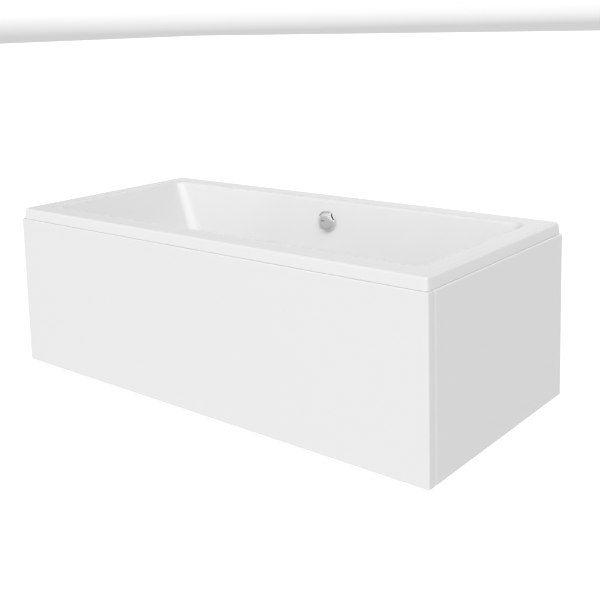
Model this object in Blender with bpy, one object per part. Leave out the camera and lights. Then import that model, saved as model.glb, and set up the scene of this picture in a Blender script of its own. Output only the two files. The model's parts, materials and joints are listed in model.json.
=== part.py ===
"""A double-ended bathtub that stands on its own levelling feet, closed in by four clip-on panels.

Metres, +Z up. The origin is on the floor under the middle of the tub. +X is the right end, -Y is the long
front panel, and the overflow knob is in the middle of the far wall, towards +Y.
"""

import math

import bmesh
import bpy
from mathutils import Matrix, Vector

# Driving dimensions
LENGTH = 1.700          # over the end panels
WIDTH = 0.800           # over the long panels
HEIGHT = 0.566          # floor to the top of the rim
CLEARANCE = 0.0003      # left between pieces that touch

# Rim and basin
RIM_INSET = 0.005       # the rim stands this far inside the panels
RIM_FACE = 0.038        # height of the rim's turned-down lip
RIM_DRAFT = 0.002       # the lip spreads this much on its way down
RIM_EDGE_RADIUS = 0.009
RIM_CORNER_RADIUS = 0.010
SHELL = 0.007           # acrylic with its glass-fibre backing
END_DECK = 0.058        # flat deck at each end, up to the turn into the basin
SIDE_DECK = 0.074       # flat deck along each side
BASIN_EDGE_RADIUS = 0.012
BASIN_DEPTH = 0.430
END_SLOPE = math.radians(26)
SIDE_SLOPE = math.radians(7)
BASIN_FILLET = 0.070
BASIN_CORNER_TOP = 0.045
BASIN_CORNER_BOTTOM = 0.095
CORNER_STEPS = 6

# Panels
PANEL_GAP = 0.0005      # fine joint under the rim
FLOOR_GAP = 0.003       # the panels stand this far off the floor
PANEL_SKIN = 0.005
PANEL_TOP_RADIUS = 0.004
CORNER_RADIUS = 0.005   # upright edge of a tray at a corner of the tub
JOINT_RADIUS = 0.012    # upright edge of a tray where it meets the next one
LONG_RETURN = 0.028     # depth of the front and back trays; the front one shows it round its corners
END_RETURN = 0.025      # depth of the end trays, which wrap round the back corners
PANEL_JOINT = 0.0015    # open joint between one tray and the next

# Underframe
BOARD = 0.018
BOARD_SIZE = (0.440, 0.340)
BOARD_X = 0.330
RAIL = 0.030
RAIL_WALL = 0.002
RAIL_X = 0.380
RAIL_HALF = 0.275
BATTEN = 0.022
BATTEN_EDGE = 0.016     # from the rim's outer face to a batten
BATTEN_RUNS = (0.300, 0.780)    # half-lengths of the end battens and the long ones
POST_FOOT = 0.010
POST_DROP = 0.012       # from the top of a panel to the top of its corner post
FOOT_Y = 0.235
STUD_RADIUS = 0.006
STUD_TOP = 0.124
PAD_RADIUS = 0.025
PAD_BASE = 0.006        # thickness of the pad under the stud
PAD_TOP = 0.022
NUT_FLATS = 0.019
NUT_HEIGHT = 0.010
BRACKET = 0.003
BRACKET_RISE = 0.040
BRACKET_START = 0.020   # from the foot's axis to the bracket
SCREW_Y = 0.110
SCREW_RADIUS = 0.0025
SCREW_BITE = 0.013      # length of a rail screw inside its board
SCREW_POINT = 0.004
SCREW_HEAD = (0.0055, 0.003)    # radius and height

# Waste in the middle of the basin floor
DISH_DEPTH = 0.004
DISH_RADIUS = 0.044
WASTE_HOLE = 0.026
THROAT_RADIUS = 0.0205
PLUG_RADIUS = 0.032
PLUG_STEM_RADIUS = 0.004
LEVER_PIVOT_Y = 0.017
LEVER_PIVOT_Z = 0.0885
LEVER_PIN_RADIUS = 0.002
PIPE_RADIUS = 0.020
PIPE_BORE = 0.0175
HOSE_RADIUS = 0.0145
HOSE_BORE = 0.0115
INLET_Z = 0.106         # height of the overflow hose where it meets the waste
GASKET_BORE = 0.0257
TOP_SEAL = 0.0012
WASHER = 0.003
GUIDE = 0.0015          # half-width of the bars that guide the plug's stem
HUB_RADIUS = 0.0075
PLUG_LIFT = 0.0030      # underside of the shut plug above the flange's seat
PLUG_SEAL = 0.0045
STEM_LOW = 0.0925
BODY_LOW = 0.056        # bottom of the waste's outlet
TRAP_NUT = (0.050, 0.067)       # bottom and top of the trap's upper nut
TRAP_LOW = 0.028
TRAP_BEND = 0.024
TRAP_LIFT = 0.020
TRAP_END = 0.150
OUTLET_NUT = (0.118, 0.022)     # start and length of the nut on the trap's outlet

# Overflow in the middle of the back wall
OVERFLOW_DROP = 0.077   # knob centre below the rim
OVERFLOW_HOLE = 0.026
KNOB_RADIUS = 0.036
KNOB_FRONT = 0.020      # how far the knob stands into the basin
KNOB_SKIN = 0.0025
GRIP_ANGLE = math.radians(31)
GRIP_RADIUS = 0.042     # curve of the finger grip cut into the knob's edge
GRIP_DEPTH = 0.0068
GRIP_FLOOR = 0.007      # height of the grip's floor over the wall
KNOB_BASE = 0.003
KNOB_HUB = (0.0085, 0.0045)     # radius, and height of its foot over the wall
SPINDLE_RADIUS = 0.004
CABLE_RADIUS = 0.003
GLAND_RADIUS = 0.004
GLAND_X = 0.0262
SPOUT_RADIUS = 0.016
SPOUT_END = 0.056       # from a fitting's axis to the end of its spout
GLAND_ENDS = (0.040, 0.038)     # from the waste's and the overflow's axis to the end of its cable gland
HOSE_NUT = (0.0163, 0.0205, -0.010, 0.008)      # bore, radius, and its two ends along the hose
ELBOW_RADIUS = 0.031
ELBOW_WALL = 0.003
ELBOW_REAR = -0.044
OVERFLOW_GASKET = 0.003
HOSE_BEHIND = 0.030     # hose centre behind the basin's inner face, all the way down
CABLE_ENTRY = (math.cos(math.radians(55)), math.sin(math.radians(55)), 0)

FINE, COARSE = 32, 20   # facets round a visible piece and round a hidden one

# Levels and places that follow from them
DECK_X = LENGTH / 2 - RIM_INSET - END_DECK - RIM_EDGE_RADIUS / 2
DECK_Y = WIDTH / 2 - RIM_INSET - SIDE_DECK
LIP_BOTTOM = HEIGHT - RIM_FACE
PANEL_TOP = LIP_BOTTOM - PANEL_GAP
FLOOR_TOP = HEIGHT - BASIN_DEPTH
FLOOR_UNDER = FLOOR_TOP - SHELL
BOARD_TOP = FLOOR_UNDER - CLEARANCE
BOARD_UNDER = BOARD_TOP - BOARD
RAIL_TOP = BOARD_UNDER - CLEARANCE
RAIL_UNDER = RAIL_TOP - RAIL
DISH_TOP = FLOOR_TOP - DISH_DEPTH

scene_objects = bpy.context.scene.collection.objects


# Materials

def material(name, colour, roughness, metallic=0.0):
    made = bpy.data.materials.new(name)
    made.use_nodes = True
    shader = made.node_tree.nodes["Principled BSDF"]
    shader.inputs["Base Color"].default_value = (*colour, 1.0)
    shader.inputs["Roughness"].default_value = roughness
    shader.inputs["Metallic"].default_value = metallic
    return made


# Building tools

def start():
    for old in list(bpy.data.objects):
        bpy.data.objects.remove(old, do_unlink=True)


def add(name, bm, finish, place=None):
    """Turn a bmesh into a named object, with smooth faces and crisp edges."""
    bmesh.ops.remove_doubles(bm, verts=bm.verts, dist=1e-6)
    bmesh.ops.recalc_face_normals(bm, faces=bm.faces)
    mesh = bpy.data.meshes.new(name)
    bm.to_mesh(mesh)
    bm.free()
    mesh.materials.append(finish)
    mesh.shade_smooth()
    mesh.set_sharp_from_angle(angle=math.radians(35))
    piece = bpy.data.objects.new(name, mesh)
    if place is not None:
        piece.matrix_world = place
    scene_objects.link(piece)
    return piece


def tool(name, bm, finish, place=None):
    """A cutting or joining shape, which isn't part of the tub."""
    shape = add(name, bm, finish, place)
    shape.hide_render = True
    shape.display_type = "WIRE"
    return shape


def combine(piece, other, operation):
    step = piece.modifiers.new(other.name, "BOOLEAN")
    step.operation = operation
    step.solver = "EXACT"
    step.object = other


def box(low, high):
    bm = bmesh.new()
    bmesh.ops.create_cube(bm, size=1.0)
    size = [high[axis] - low[axis] for axis in range(3)]
    middle = [(high[axis] + low[axis]) / 2 for axis in range(3)]
    bmesh.ops.scale(bm, vec=size, verts=bm.verts)
    bmesh.ops.translate(bm, vec=middle, verts=bm.verts)
    return bm


def round_edges(bm, radius, wanted, steps=4):
    """Round the edges whose two ends both satisfy wanted(point)."""
    edges = [edge for edge in bm.edges if all(wanted(vert.co) for vert in edge.verts)]
    bmesh.ops.bevel(bm, geom=edges, offset=radius, segments=steps, profile=0.5, affect="EDGES")


def turned(profile, facets):
    """Turn a closed outline of (radius, height) points about Z."""
    bm = bmesh.new()
    verts = [bm.verts.new((radius, 0.0, height)) for radius, height in profile]
    edges = [bm.edges.new((verts[i - 1], verts[i])) for i in range(len(verts))]
    edges = [edge for edge in edges if any(vert.co.x > 0 for vert in edge.verts)]
    bmesh.ops.spin(bm, geom=edges, cent=(0, 0, 0), axis=(0, 0, 1), angle=2 * math.pi, steps=facets,
                   use_merge=True)
    loose = [vert for vert in bm.verts if not vert.link_faces]
    bmesh.ops.delete(bm, geom=loose, context="VERTS")
    wires = [edge for edge in bm.edges if not edge.link_faces]
    bmesh.ops.delete(bm, geom=wires, context="EDGES")
    return bm


def disc(radius, low, high, facets=COARSE):
    return turned([(0, low), (radius, low), (radius, high), (0, high)], facets)


def ring(inner, outer, low, high, facets=COARSE):
    return turned([(inner, low), (outer, low), (outer, high), (inner, high)], facets)


def hexagon(flats, hole, low, high):
    """A plain nut: a hexagonal ring round a hole of twelve facets."""
    bm = bmesh.new()
    corner = flats / math.sqrt(3)
    levels = []
    for height in (low, high):
        outer, inner = [], []
        for step in range(12):
            angle = math.pi * step / 6
            reach = corner if step % 2 == 0 else flats / 2
            outer.append(bm.verts.new((reach * math.cos(angle), reach * math.sin(angle), height)))
            inner.append(bm.verts.new((hole * math.cos(angle), hole * math.sin(angle), height)))
        levels.append((outer, inner))
    (outer_low, inner_low), (outer_high, inner_high) = levels
    for i in range(12):
        bm.faces.new((outer_low[i - 1], outer_low[i], outer_high[i], outer_high[i - 1]))
        bm.faces.new((inner_low[i - 1], inner_high[i - 1], inner_high[i], inner_low[i]))
        bm.faces.new((outer_high[i - 1], outer_high[i], inner_high[i], inner_high[i - 1]))
        bm.faces.new((outer_low[i - 1], inner_low[i - 1], inner_low[i], outer_low[i]))
    return bm


def rounded_rectangle(half_x, half_y, radius, steps=CORNER_STEPS):
    points = []
    for quarter, (sign_x, sign_y) in enumerate(((1, 1), (-1, 1), (-1, -1), (1, -1))):
        centre = (sign_x * (half_x - radius), sign_y * (half_y - radius))
        for step in range(steps + 1):
            angle = math.pi / 2 * (quarter + step / steps)
            points.append((centre[0] + radius * math.cos(angle), centre[1] + radius * math.sin(angle)))
    return points


def loft(rings):
    """Skin a list of (outline, height) rings and close both ends with a face."""
    bm = bmesh.new()
    levels = [[bm.verts.new((x, y, height)) for x, y in outline] for outline, height in rings]
    for lower, upper in zip(levels, levels[1:]):
        for i in range(len(lower)):
            bm.faces.new((lower[i - 1], lower[i], upper[i], upper[i - 1]))
    bm.faces.new(levels[0])
    bm.faces.new(levels[-1])
    return bm


def smooth_route(points, spacing):
    """Points every spacing or so along a Catmull-Rom curve through the route's own points."""
    route = [Vector(point) for point in points]
    padded = [2 * route[0] - route[1]] + route + [2 * route[-1] - route[-2]]
    path = []
    for i in range(1, len(padded) - 2):
        before, here, there, after = padded[i - 1:i + 3]
        count = max(1, round((there - here).length / spacing))
        for step in range(count):
            t = step / count
            path.append(0.5 * (2 * here + (there - before) * t
                               + (2 * before - 5 * here + 4 * there - after) * t * t
                               + (3 * here - before - 3 * there + after) * t ** 3))
    path.append(route[-1])
    return path


def swept_pipe(path, outer, bore, sides=12):
    """A hollow pipe along a path; a bore of zero makes a solid cord."""
    bm = bmesh.new()
    levels = []
    across = Vector((1, 0, 0))
    for i, point in enumerate(path):
        ahead = (path[min(i + 1, len(path) - 1)] - path[max(i - 1, 0)]).normalized()
        if abs(across.dot(ahead)) > 0.9:
            across = Vector((0, 1, 0))
        across = (across - ahead * across.dot(ahead)).normalized()
        side = ahead.cross(across)
        angles = [2 * math.pi * step / sides for step in range(sides)]
        rims = []
        for radius in (outer, bore):
            if radius > 0:
                rims.append([bm.verts.new(point + radius * (math.cos(a) * across + math.sin(a) * side))
                             for a in angles])
        levels.append(rims)
    for here, there in zip(levels, levels[1:]):
        for rim_here, rim_there in zip(here, there):
            for i in range(sides):
                bm.faces.new((rim_here[i - 1], rim_here[i], rim_there[i], rim_there[i - 1]))
    for rims in (levels[0], levels[-1]):
        if bore > 0:
            for i in range(sides):
                bm.faces.new((rims[0][i - 1], rims[0][i], rims[1][i], rims[1][i - 1]))
        else:
            bm.faces.new(rims[0])
    return bm


def along(direction, origin=(0, 0, 0)):
    """A placement whose own Z runs along direction."""
    turn = Vector(direction).to_track_quat("Z", "Y").to_matrix().to_4x4()
    return Matrix.Translation(origin) @ turn


# Shape of the basin

def wall_offset(depth, slope, backing):
    """How far in from the flat deck a wall is at a depth; backing moves it to the outside of the shell."""
    top_radius = BASIN_EDGE_RADIUS - backing
    foot_radius = BASIN_FILLET + backing
    turn_end = BASIN_EDGE_RADIUS - top_radius * math.sin(slope)
    if depth < turn_end:
        rise = (BASIN_EDGE_RADIUS - depth) / top_radius
        return top_radius * math.sqrt(max(0.0, 1 - rise * rise))
    foot_centre = BASIN_DEPTH - BASIN_FILLET
    if depth < foot_centre + foot_radius * math.sin(slope):
        return top_radius * math.cos(slope) + (depth - turn_end) * math.tan(slope)
    straight = BASIN_DEPTH - BASIN_EDGE_RADIUS * (1 - math.sin(slope))
    toe = BASIN_EDGE_RADIUS * math.cos(slope) + straight * math.tan(slope)
    centre = toe + BASIN_FILLET * math.tan((math.pi / 2 - slope) / 2)
    fall = depth - foot_centre
    return centre - math.sqrt(max(0.0, foot_radius * foot_radius - fall * fall))


def basin_ring(depth, backing):
    along_x = wall_offset(depth, END_SLOPE, backing)
    along_y = wall_offset(depth, SIDE_SLOPE, backing)
    share = min(1.0, max(0.0, depth / BASIN_DEPTH))
    radius = BASIN_CORNER_TOP + (BASIN_CORNER_BOTTOM - BASIN_CORNER_TOP) * share
    return rounded_rectangle(DECK_X - along_x, DECK_Y - along_y, radius), HEIGHT - depth


def basin_rings(backing):
    """Rings of one side of the basin wall, from the deck down to the floor."""
    edge = BASIN_EDGE_RADIUS - backing
    depths = [BASIN_EDGE_RADIUS - edge * math.cos(math.radians(angle)) for angle in (0, 20, 40, 64, 83)]
    depths += [0.12, 0.24, BASIN_DEPTH - BASIN_FILLET]
    foot = BASIN_FILLET + backing
    depths += [BASIN_DEPTH - BASIN_FILLET + foot * math.sin(math.radians(angle))
               for angle in (7, 16, 26, 42, 58, 74, 90)]
    return [basin_ring(depth, backing) for depth in depths]


def rim_ring(inset, radius, height):
    half_x = LENGTH / 2 - RIM_INSET - inset
    half_y = WIDTH / 2 - RIM_INSET - inset
    return rounded_rectangle(half_x, half_y, radius), height


def tub_shell(finish):
    rings = list(reversed(basin_rings(0.0)))
    for step in range(5):
        angle = math.pi / 2 * step / 4
        inset = RIM_DRAFT + RIM_EDGE_RADIUS * (1 - math.sin(angle))
        height = HEIGHT - RIM_EDGE_RADIUS * (1 - math.cos(angle))
        corner = RIM_CORNER_RADIUS - inset + RIM_DRAFT
        rings.append(rim_ring(inset, corner, height))
    rings.append(rim_ring(0.0, RIM_CORNER_RADIUS, LIP_BOTTOM))
    rings.append(rim_ring(SHELL, RIM_CORNER_RADIUS - SHELL, LIP_BOTTOM))
    rings.append(rim_ring(SHELL + RIM_DRAFT, RIM_CORNER_RADIUS - SHELL, HEIGHT - SHELL))
    rings += basin_rings(SHELL)
    shell = add("tub_shell", loft(rings), finish)
    dish = turned([(0, DISH_TOP), (DISH_RADIUS, DISH_TOP), (DISH_RADIUS + 0.012, FLOOR_TOP),
                   (DISH_RADIUS + 0.012, FLOOR_TOP + 0.01), (0, FLOOR_TOP + 0.01)], FINE)
    combine(shell, tool("dish_cutter", dish, finish), "DIFFERENCE")
    hole = disc(WASTE_HOLE, FLOOR_UNDER - 0.01, FLOOR_TOP + 0.01, FINE)
    combine(shell, tool("waste_hole_cutter", hole, finish), "DIFFERENCE")
    hole = disc(OVERFLOW_HOLE, -0.03, 0.03, FINE)
    combine(shell, tool("overflow_hole_cutter", hole, finish, overflow_place()), "DIFFERENCE")


# Panels

def panel(name, ends, depth, place, finish):
    """A tray-shaped panel. Own X runs along its face and own Y points out of it.

    ends holds, for each end, where it is along X and the radius of its upright edge.
    """
    (start, start_radius), (stop, stop_radius) = ends
    bm = box((start, -depth, FLOOR_GAP), (stop, 0, PANEL_TOP))
    round_edges(bm, start_radius, lambda p: p.x < start + 1e-6 and p.y > -1e-6)
    round_edges(bm, stop_radius, lambda p: p.x > stop - 1e-6 and p.y > -1e-6)
    round_edges(bm, PANEL_TOP_RADIUS, lambda p: p.z > PANEL_TOP - 1e-6 and p.y > -depth + 1e-6)
    tray = add(name, bm, finish, place)
    hollow = box((start + PANEL_SKIN, -depth - 0.01, FLOOR_GAP - 0.01),
                 (stop - PANEL_SKIN, -PANEL_SKIN, PANEL_TOP - PANEL_SKIN))
    combine(tray, tool(name + "_hollow", hollow, finish, place), "DIFFERENCE")


def panels(finish):
    """The front tray wraps the front corners and the end trays the back ones; the back tray fits between."""
    front_joint = WIDTH / 2 - LONG_RETURN - PANEL_JOINT
    back_joint = LENGTH / 2 - END_RETURN - PANEL_JOINT
    front = Matrix.Translation((0, -WIDTH / 2, 0)) @ Matrix.Rotation(math.pi, 4, "Z")
    back = Matrix.Translation((0, WIDTH / 2, 0))
    left = Matrix.Translation((-LENGTH / 2, 0, 0)) @ Matrix.Rotation(math.pi / 2, 4, "Z")
    right = Matrix.Translation((LENGTH / 2, 0, 0)) @ Matrix.Rotation(-math.pi / 2, 4, "Z")
    corners = ((-LENGTH / 2, CORNER_RADIUS), (LENGTH / 2, CORNER_RADIUS))
    joints = ((-back_joint, JOINT_RADIUS), (back_joint, JOINT_RADIUS))
    left_ends = ((-front_joint, JOINT_RADIUS), (WIDTH / 2, CORNER_RADIUS))
    right_ends = ((-WIDTH / 2, CORNER_RADIUS), (front_joint, JOINT_RADIUS))
    panel("front_panel", corners, LONG_RETURN, front, finish)
    panel("back_panel", joints, LONG_RETURN, back, finish)
    panel("left_panel", left_ends, END_RETURN, left, finish)
    panel("right_panel", right_ends, END_RETURN, right, finish)


def corner_post(name, side_x, side_y, finish):
    """A timber post in a corner of the tray that wraps it, next to the edge of the other tray."""
    inner_x = LENGTH / 2 - END_RETURN + CLEARANCE
    outer_x = LENGTH / 2 - PANEL_SKIN - CLEARANCE
    inner_y = WIDTH / 2 - LONG_RETURN - PANEL_JOINT + CLEARANCE
    outer_y = WIDTH / 2 - PANEL_SKIN - CLEARANCE
    xs = sorted((side_x * inner_x, side_x * outer_x))
    ys = sorted((side_y * inner_y, side_y * outer_y))
    add(name, box((xs[0], ys[0], POST_FOOT), (xs[1], ys[1], PANEL_TOP - POST_DROP)), finish)


# Underframe

def base_board(name, side, finish):
    """A board bonded to the underside of the basin, on one side of the waste."""
    half_x, half_y = BOARD_SIZE[0] / 2, BOARD_SIZE[1] / 2
    board = add(name, box((side * BOARD_X - half_x, -half_y, BOARD_UNDER),
                          (side * BOARD_X + half_x, half_y, BOARD_TOP)), finish)
    for end in (-1, 1):
        spot = Matrix.Translation((side * RAIL_X, end * SCREW_Y, BOARD_UNDER))
        hole = disc(SCREW_RADIUS + CLEARANCE, -0.005, SCREW_BITE + 0.001, 12)
        combine(board, tool(f"{name}_screw_hole_{end + 1}", hole, finish, spot), "DIFFERENCE")


def rim_batten(name, axis, side, finish):
    """A timber strip bonded under the deck. axis 1 runs along a long side, axis 0 along an end."""
    extents = (LENGTH / 2, WIDTH / 2)
    outer = extents[axis] - RIM_INSET - BATTEN_EDGE
    near, far = sorted((side * outer, side * (outer - BATTEN)))
    top = HEIGHT - SHELL - CLEARANCE
    run = BATTEN_RUNS[axis]
    low, high = [-run, -run, top - BATTEN], [run, run, top]
    low[axis], high[axis] = near, far
    add(name, box(low, high), finish)


def leg_rail(name, side, finish):
    """A square steel tube across the tub that carries two feet."""
    bm = box((-RAIL / 2, -RAIL_HALF, -RAIL / 2), (RAIL / 2, RAIL_HALF, RAIL / 2))
    place = Matrix.Translation((side * RAIL_X, 0, RAIL_UNDER + RAIL / 2))
    rail = add(name, bm, finish, place)
    inside = RAIL / 2 - RAIL_WALL
    bore = box((-inside, -RAIL_HALF - 0.01, -inside), (inside, RAIL_HALF + 0.01, inside))
    combine(rail, tool(name + "_bore", bore, finish, place), "DIFFERENCE")
    for end in (-1, 1):
        hole = disc(STUD_RADIUS + 0.0006, -RAIL, RAIL, 12)
        spot = place @ Matrix.Translation((0, end * FOOT_Y, 0))
        combine(rail, tool(f"{name}_stud_hole_{end + 1}", hole, finish, spot), "DIFFERENCE")
        hole = disc(SCREW_RADIUS + CLEARANCE, -RAIL, RAIL, 12)
        spot = place @ Matrix.Translation((0, end * SCREW_Y, 0))
        combine(rail, tool(f"{name}_screw_hole_{end + 1}", hole, finish, spot), "DIFFERENCE")


def rail_screw(corner, side_x, side_y, finish):
    """A screw up through a leg rail into the board above it."""
    head_top = RAIL_UNDER - CLEARANCE
    head_radius, head = SCREW_HEAD
    tip = BOARD_UNDER + SCREW_BITE
    screw = turned([(0, head_top - head), (head_radius, head_top - head), (head_radius, head_top - head / 2),
                    (head_radius - head / 2, head_top), (SCREW_RADIUS, head_top),
                    (SCREW_RADIUS, tip - SCREW_POINT), (0, tip)], 12)
    place = Matrix.Translation((side_x * RAIL_X, side_y * SCREW_Y, 0))
    add("rail_screw_" + corner, screw, finish, place)


def panel_bracket(name, side_x, side_y, finish):
    """A steel angle from the end of a leg rail out to the back of a long panel."""
    reach = WIDTH / 2 - PANEL_SKIN - CLEARANCE
    top = RAIL_UNDER - CLEARANCE
    width = RAIL / 2
    start_y = FOOT_Y + BRACKET_START
    outline = [(start_y, top - BRACKET), (reach, top - BRACKET), (reach, top + BRACKET_RISE),
               (reach - BRACKET, top + BRACKET_RISE), (reach - BRACKET, top), (start_y, top)]
    bm = bmesh.new()
    ends = []
    for x in (-width, width):
        ends.append([bm.verts.new((side_x * RAIL_X + x, side_y * y, z)) for y, z in outline])
    for i in range(len(outline)):
        bm.faces.new((ends[0][i - 1], ends[0][i], ends[1][i], ends[1][i - 1]))
    bm.faces.new(ends[0])
    bm.faces.new(ends[1])
    add(name, bm, finish)


def foot(corner, side_x, side_y, steel, plastic):
    """A levelling foot: threaded stud and swivel pad, with the nut that carries the rail."""
    place = Matrix.Translation((side_x * RAIL_X, side_y * FOOT_Y, 0))
    socket = STUD_RADIUS + CLEARANCE
    pad = turned([(0, 0), (PAD_RADIUS, 0), (PAD_RADIUS, PAD_BASE), (0.013, 2 * PAD_BASE), (0.012, PAD_TOP),
                  (socket, PAD_TOP), (socket, PAD_BASE), (0, PAD_BASE)], COARSE)
    add("foot_pad_" + corner, pad, plastic, place)
    add("foot_stud_" + corner, disc(STUD_RADIUS, PAD_BASE + CLEARANCE, STUD_TOP, 12), steel, place)
    nut_top = RAIL_UNDER - CLEARANCE
    add("foot_nut_" + corner, hexagon(NUT_FLATS, socket, nut_top - NUT_HEIGHT, nut_top), steel, place)


# Waste

def waste(chrome, rubber, plastic, brass):
    seal_low = DISH_TOP + CLEARANCE
    seat = seal_low + TOP_SEAL + CLEARANCE
    add("waste_top_seal", ring(GASKET_BORE, 0.034, seal_low, seal_low + TOP_SEAL, FINE), rubber)

    throat_end = FLOOR_UNDER - 0.022
    flange = turned([(THROAT_RADIUS, throat_end), (0.0250, throat_end), (0.0250, seat), (0.035, seat),
                     (0.035, seat + 0.0012), (0.033, seat + 0.0026), (0.0245, seat + 0.0022),
                     (THROAT_RADIUS, seat - 0.004)], FINE)
    piece = add("waste_flange", flange, chrome)
    guide_low, guide_high = FLOOR_UNDER - 0.016, FLOOR_UNDER - 0.010
    across = THROAT_RADIUS + 0.001
    bars = [box((-across, -GUIDE, guide_low), (across, GUIDE, guide_high)),
            box((-GUIDE, -across, guide_low), (GUIDE, across, guide_high)),
            disc(HUB_RADIUS, guide_low, guide_high, 16)]
    for number, bar in enumerate(bars):
        combine(piece, tool(f"guide_bar_{number}", bar, chrome), "UNION")
    hole = disc(PLUG_STEM_RADIUS + CLEARANCE, guide_low - 0.01, guide_high + 0.01, 16)
    combine(piece, tool("guide_hole", hole, chrome), "DIFFERENCE")

    washer_top = FLOOR_UNDER - CLEARANCE
    washer_low = washer_top - WASHER
    add("waste_washer", ring(GASKET_BORE, 0.038, washer_low, washer_top), rubber)

    top = washer_low - CLEARANCE
    body = turned([(0.0253, top), (0.0253, 0.082), (0.0180, 0.078), (0.0180, BODY_LOW),
                   (0.0213, BODY_LOW), (0.0213, 0.076), (0.031, 0.080), (0.031, top - 0.005),
                   (0.038, top - 0.005), (0.038, top)], FINE)
    piece = add("waste_body", body, plastic)
    pivot = along((1, 0, 0), (0, LEVER_PIVOT_Y, LEVER_PIVOT_Z))
    hole = disc(LEVER_PIN_RADIUS + CLEARANCE, -0.04, 0.04, 12)
    combine(piece, tool("pivot_bore", hole, plastic, pivot), "DIFFERENCE")
    inlet = along((0, 1, 0), (0, 0, INLET_Z))
    combine(piece, tool("inlet_wall", disc(SPOUT_RADIUS, 0.0258, SPOUT_END), plastic, inlet), "UNION")
    gland = along(CABLE_ENTRY, (0, 0, LEVER_PIVOT_Z))
    gland_shape = disc(GLAND_RADIUS, 0.028, GLAND_ENDS[0], 12)
    combine(piece, tool("cable_gland_low", gland_shape, plastic, gland), "UNION")
    combine(piece, tool("inlet_bore", disc(HOSE_BORE, 0.0, 0.070), plastic, inlet), "DIFFERENCE")
    add("lever_pin", disc(LEVER_PIN_RADIUS, -0.0255, 0.0255, 12), brass, pivot)

    lever = box((-0.004, -LEVER_PIVOT_Y - 0.004, -0.0025), (0.004, 0.002, 0.0025))
    lever = add("plug_lever", lever, brass, Matrix.Translation(pivot.translation))
    eye = along((1, 0, 0), pivot.translation)
    combine(lever, tool("lever_eye", disc(0.004, -0.004, 0.004, 16), brass, eye), "UNION")
    hole = disc(LEVER_PIN_RADIUS + CLEARANCE, -0.01, 0.01, 12)
    combine(lever, tool("lever_bore", hole, brass, eye), "DIFFERENCE")

    cap_low = seat + PLUG_LIFT
    cap = turned([(0, cap_low), (PLUG_RADIUS - 0.001, cap_low), (PLUG_RADIUS, cap_low + 0.0015),
                  (PLUG_RADIUS, cap_low + 0.0035), (PLUG_RADIUS - 0.003, cap_low + 0.0055),
                  (0, cap_low + 0.0065)], FINE)
    add("plug_cap", cap, chrome)
    skirt_top = cap_low - CLEARANCE
    add("plug_seal", ring(0.0085, 0.0195, skirt_top - PLUG_SEAL, skirt_top, FINE), rubber)
    stem = turned([(0, STEM_LOW), (PLUG_STEM_RADIUS, STEM_LOW), (PLUG_STEM_RADIUS, skirt_top - 0.006),
                   (0.008, skirt_top - 0.005), (0.008, skirt_top), (0, skirt_top)], 16)
    add("plug_stem", stem, brass)


def trap(plastic, grey):
    """A shallow bend that holds water under the waste, with a union nut at each end."""
    nut_low, nut_high = TRAP_NUT
    nut = turned([(0.0212, nut_low), (0.0265, nut_low), (0.0265, nut_high), (0.0218, nut_high),
                  (0.0218, nut_low + 0.0050), (0.0212, nut_low + 0.0045)], COARSE)
    add("trap_inlet_nut", nut, grey)
    centre = TRAP_LOW + TRAP_BEND
    outlet = centre + TRAP_LIFT
    path = [Vector((0, 0, BODY_LOW - 0.0007)), Vector((0, 0, centre))]
    for step in range(1, 12):
        angle = math.pi * step / 12
        x, z = TRAP_BEND - TRAP_BEND * math.cos(angle), centre - TRAP_BEND * math.sin(angle)
        path.append(Vector((x, 0, z)))
    for step in range(6):
        angle = math.pi / 2 * step / 5
        x, z = 2 * TRAP_BEND + TRAP_LIFT - TRAP_LIFT * math.cos(angle), centre + TRAP_LIFT * math.sin(angle)
        path.append(Vector((x, 0, z)))
    path.append(Vector((TRAP_END, 0, outlet)))
    add("trap_bend", swept_pipe(path, PIPE_RADIUS, PIPE_BORE, 16), plastic)
    start_x, length = OUTLET_NUT
    spot = along((1, 0, 0), (start_x, 0, outlet))
    add("trap_outlet_nut", ring(PIPE_RADIUS + CLEARANCE, 0.027, 0.0, length), grey, spot)


# Overflow

def overflow_place():
    """Own Z points out of the back wall into the basin, own Y points up the wall."""
    wall_y = DECK_Y - wall_offset(OVERFLOW_DROP, SIDE_SLOPE, 0.0)
    lean = Matrix.Rotation(math.pi / 2 - SIDE_SLOPE, 4, "X")
    return Matrix.Translation((0, wall_y, HEIGHT - OVERFLOW_DROP)) @ lean


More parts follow.
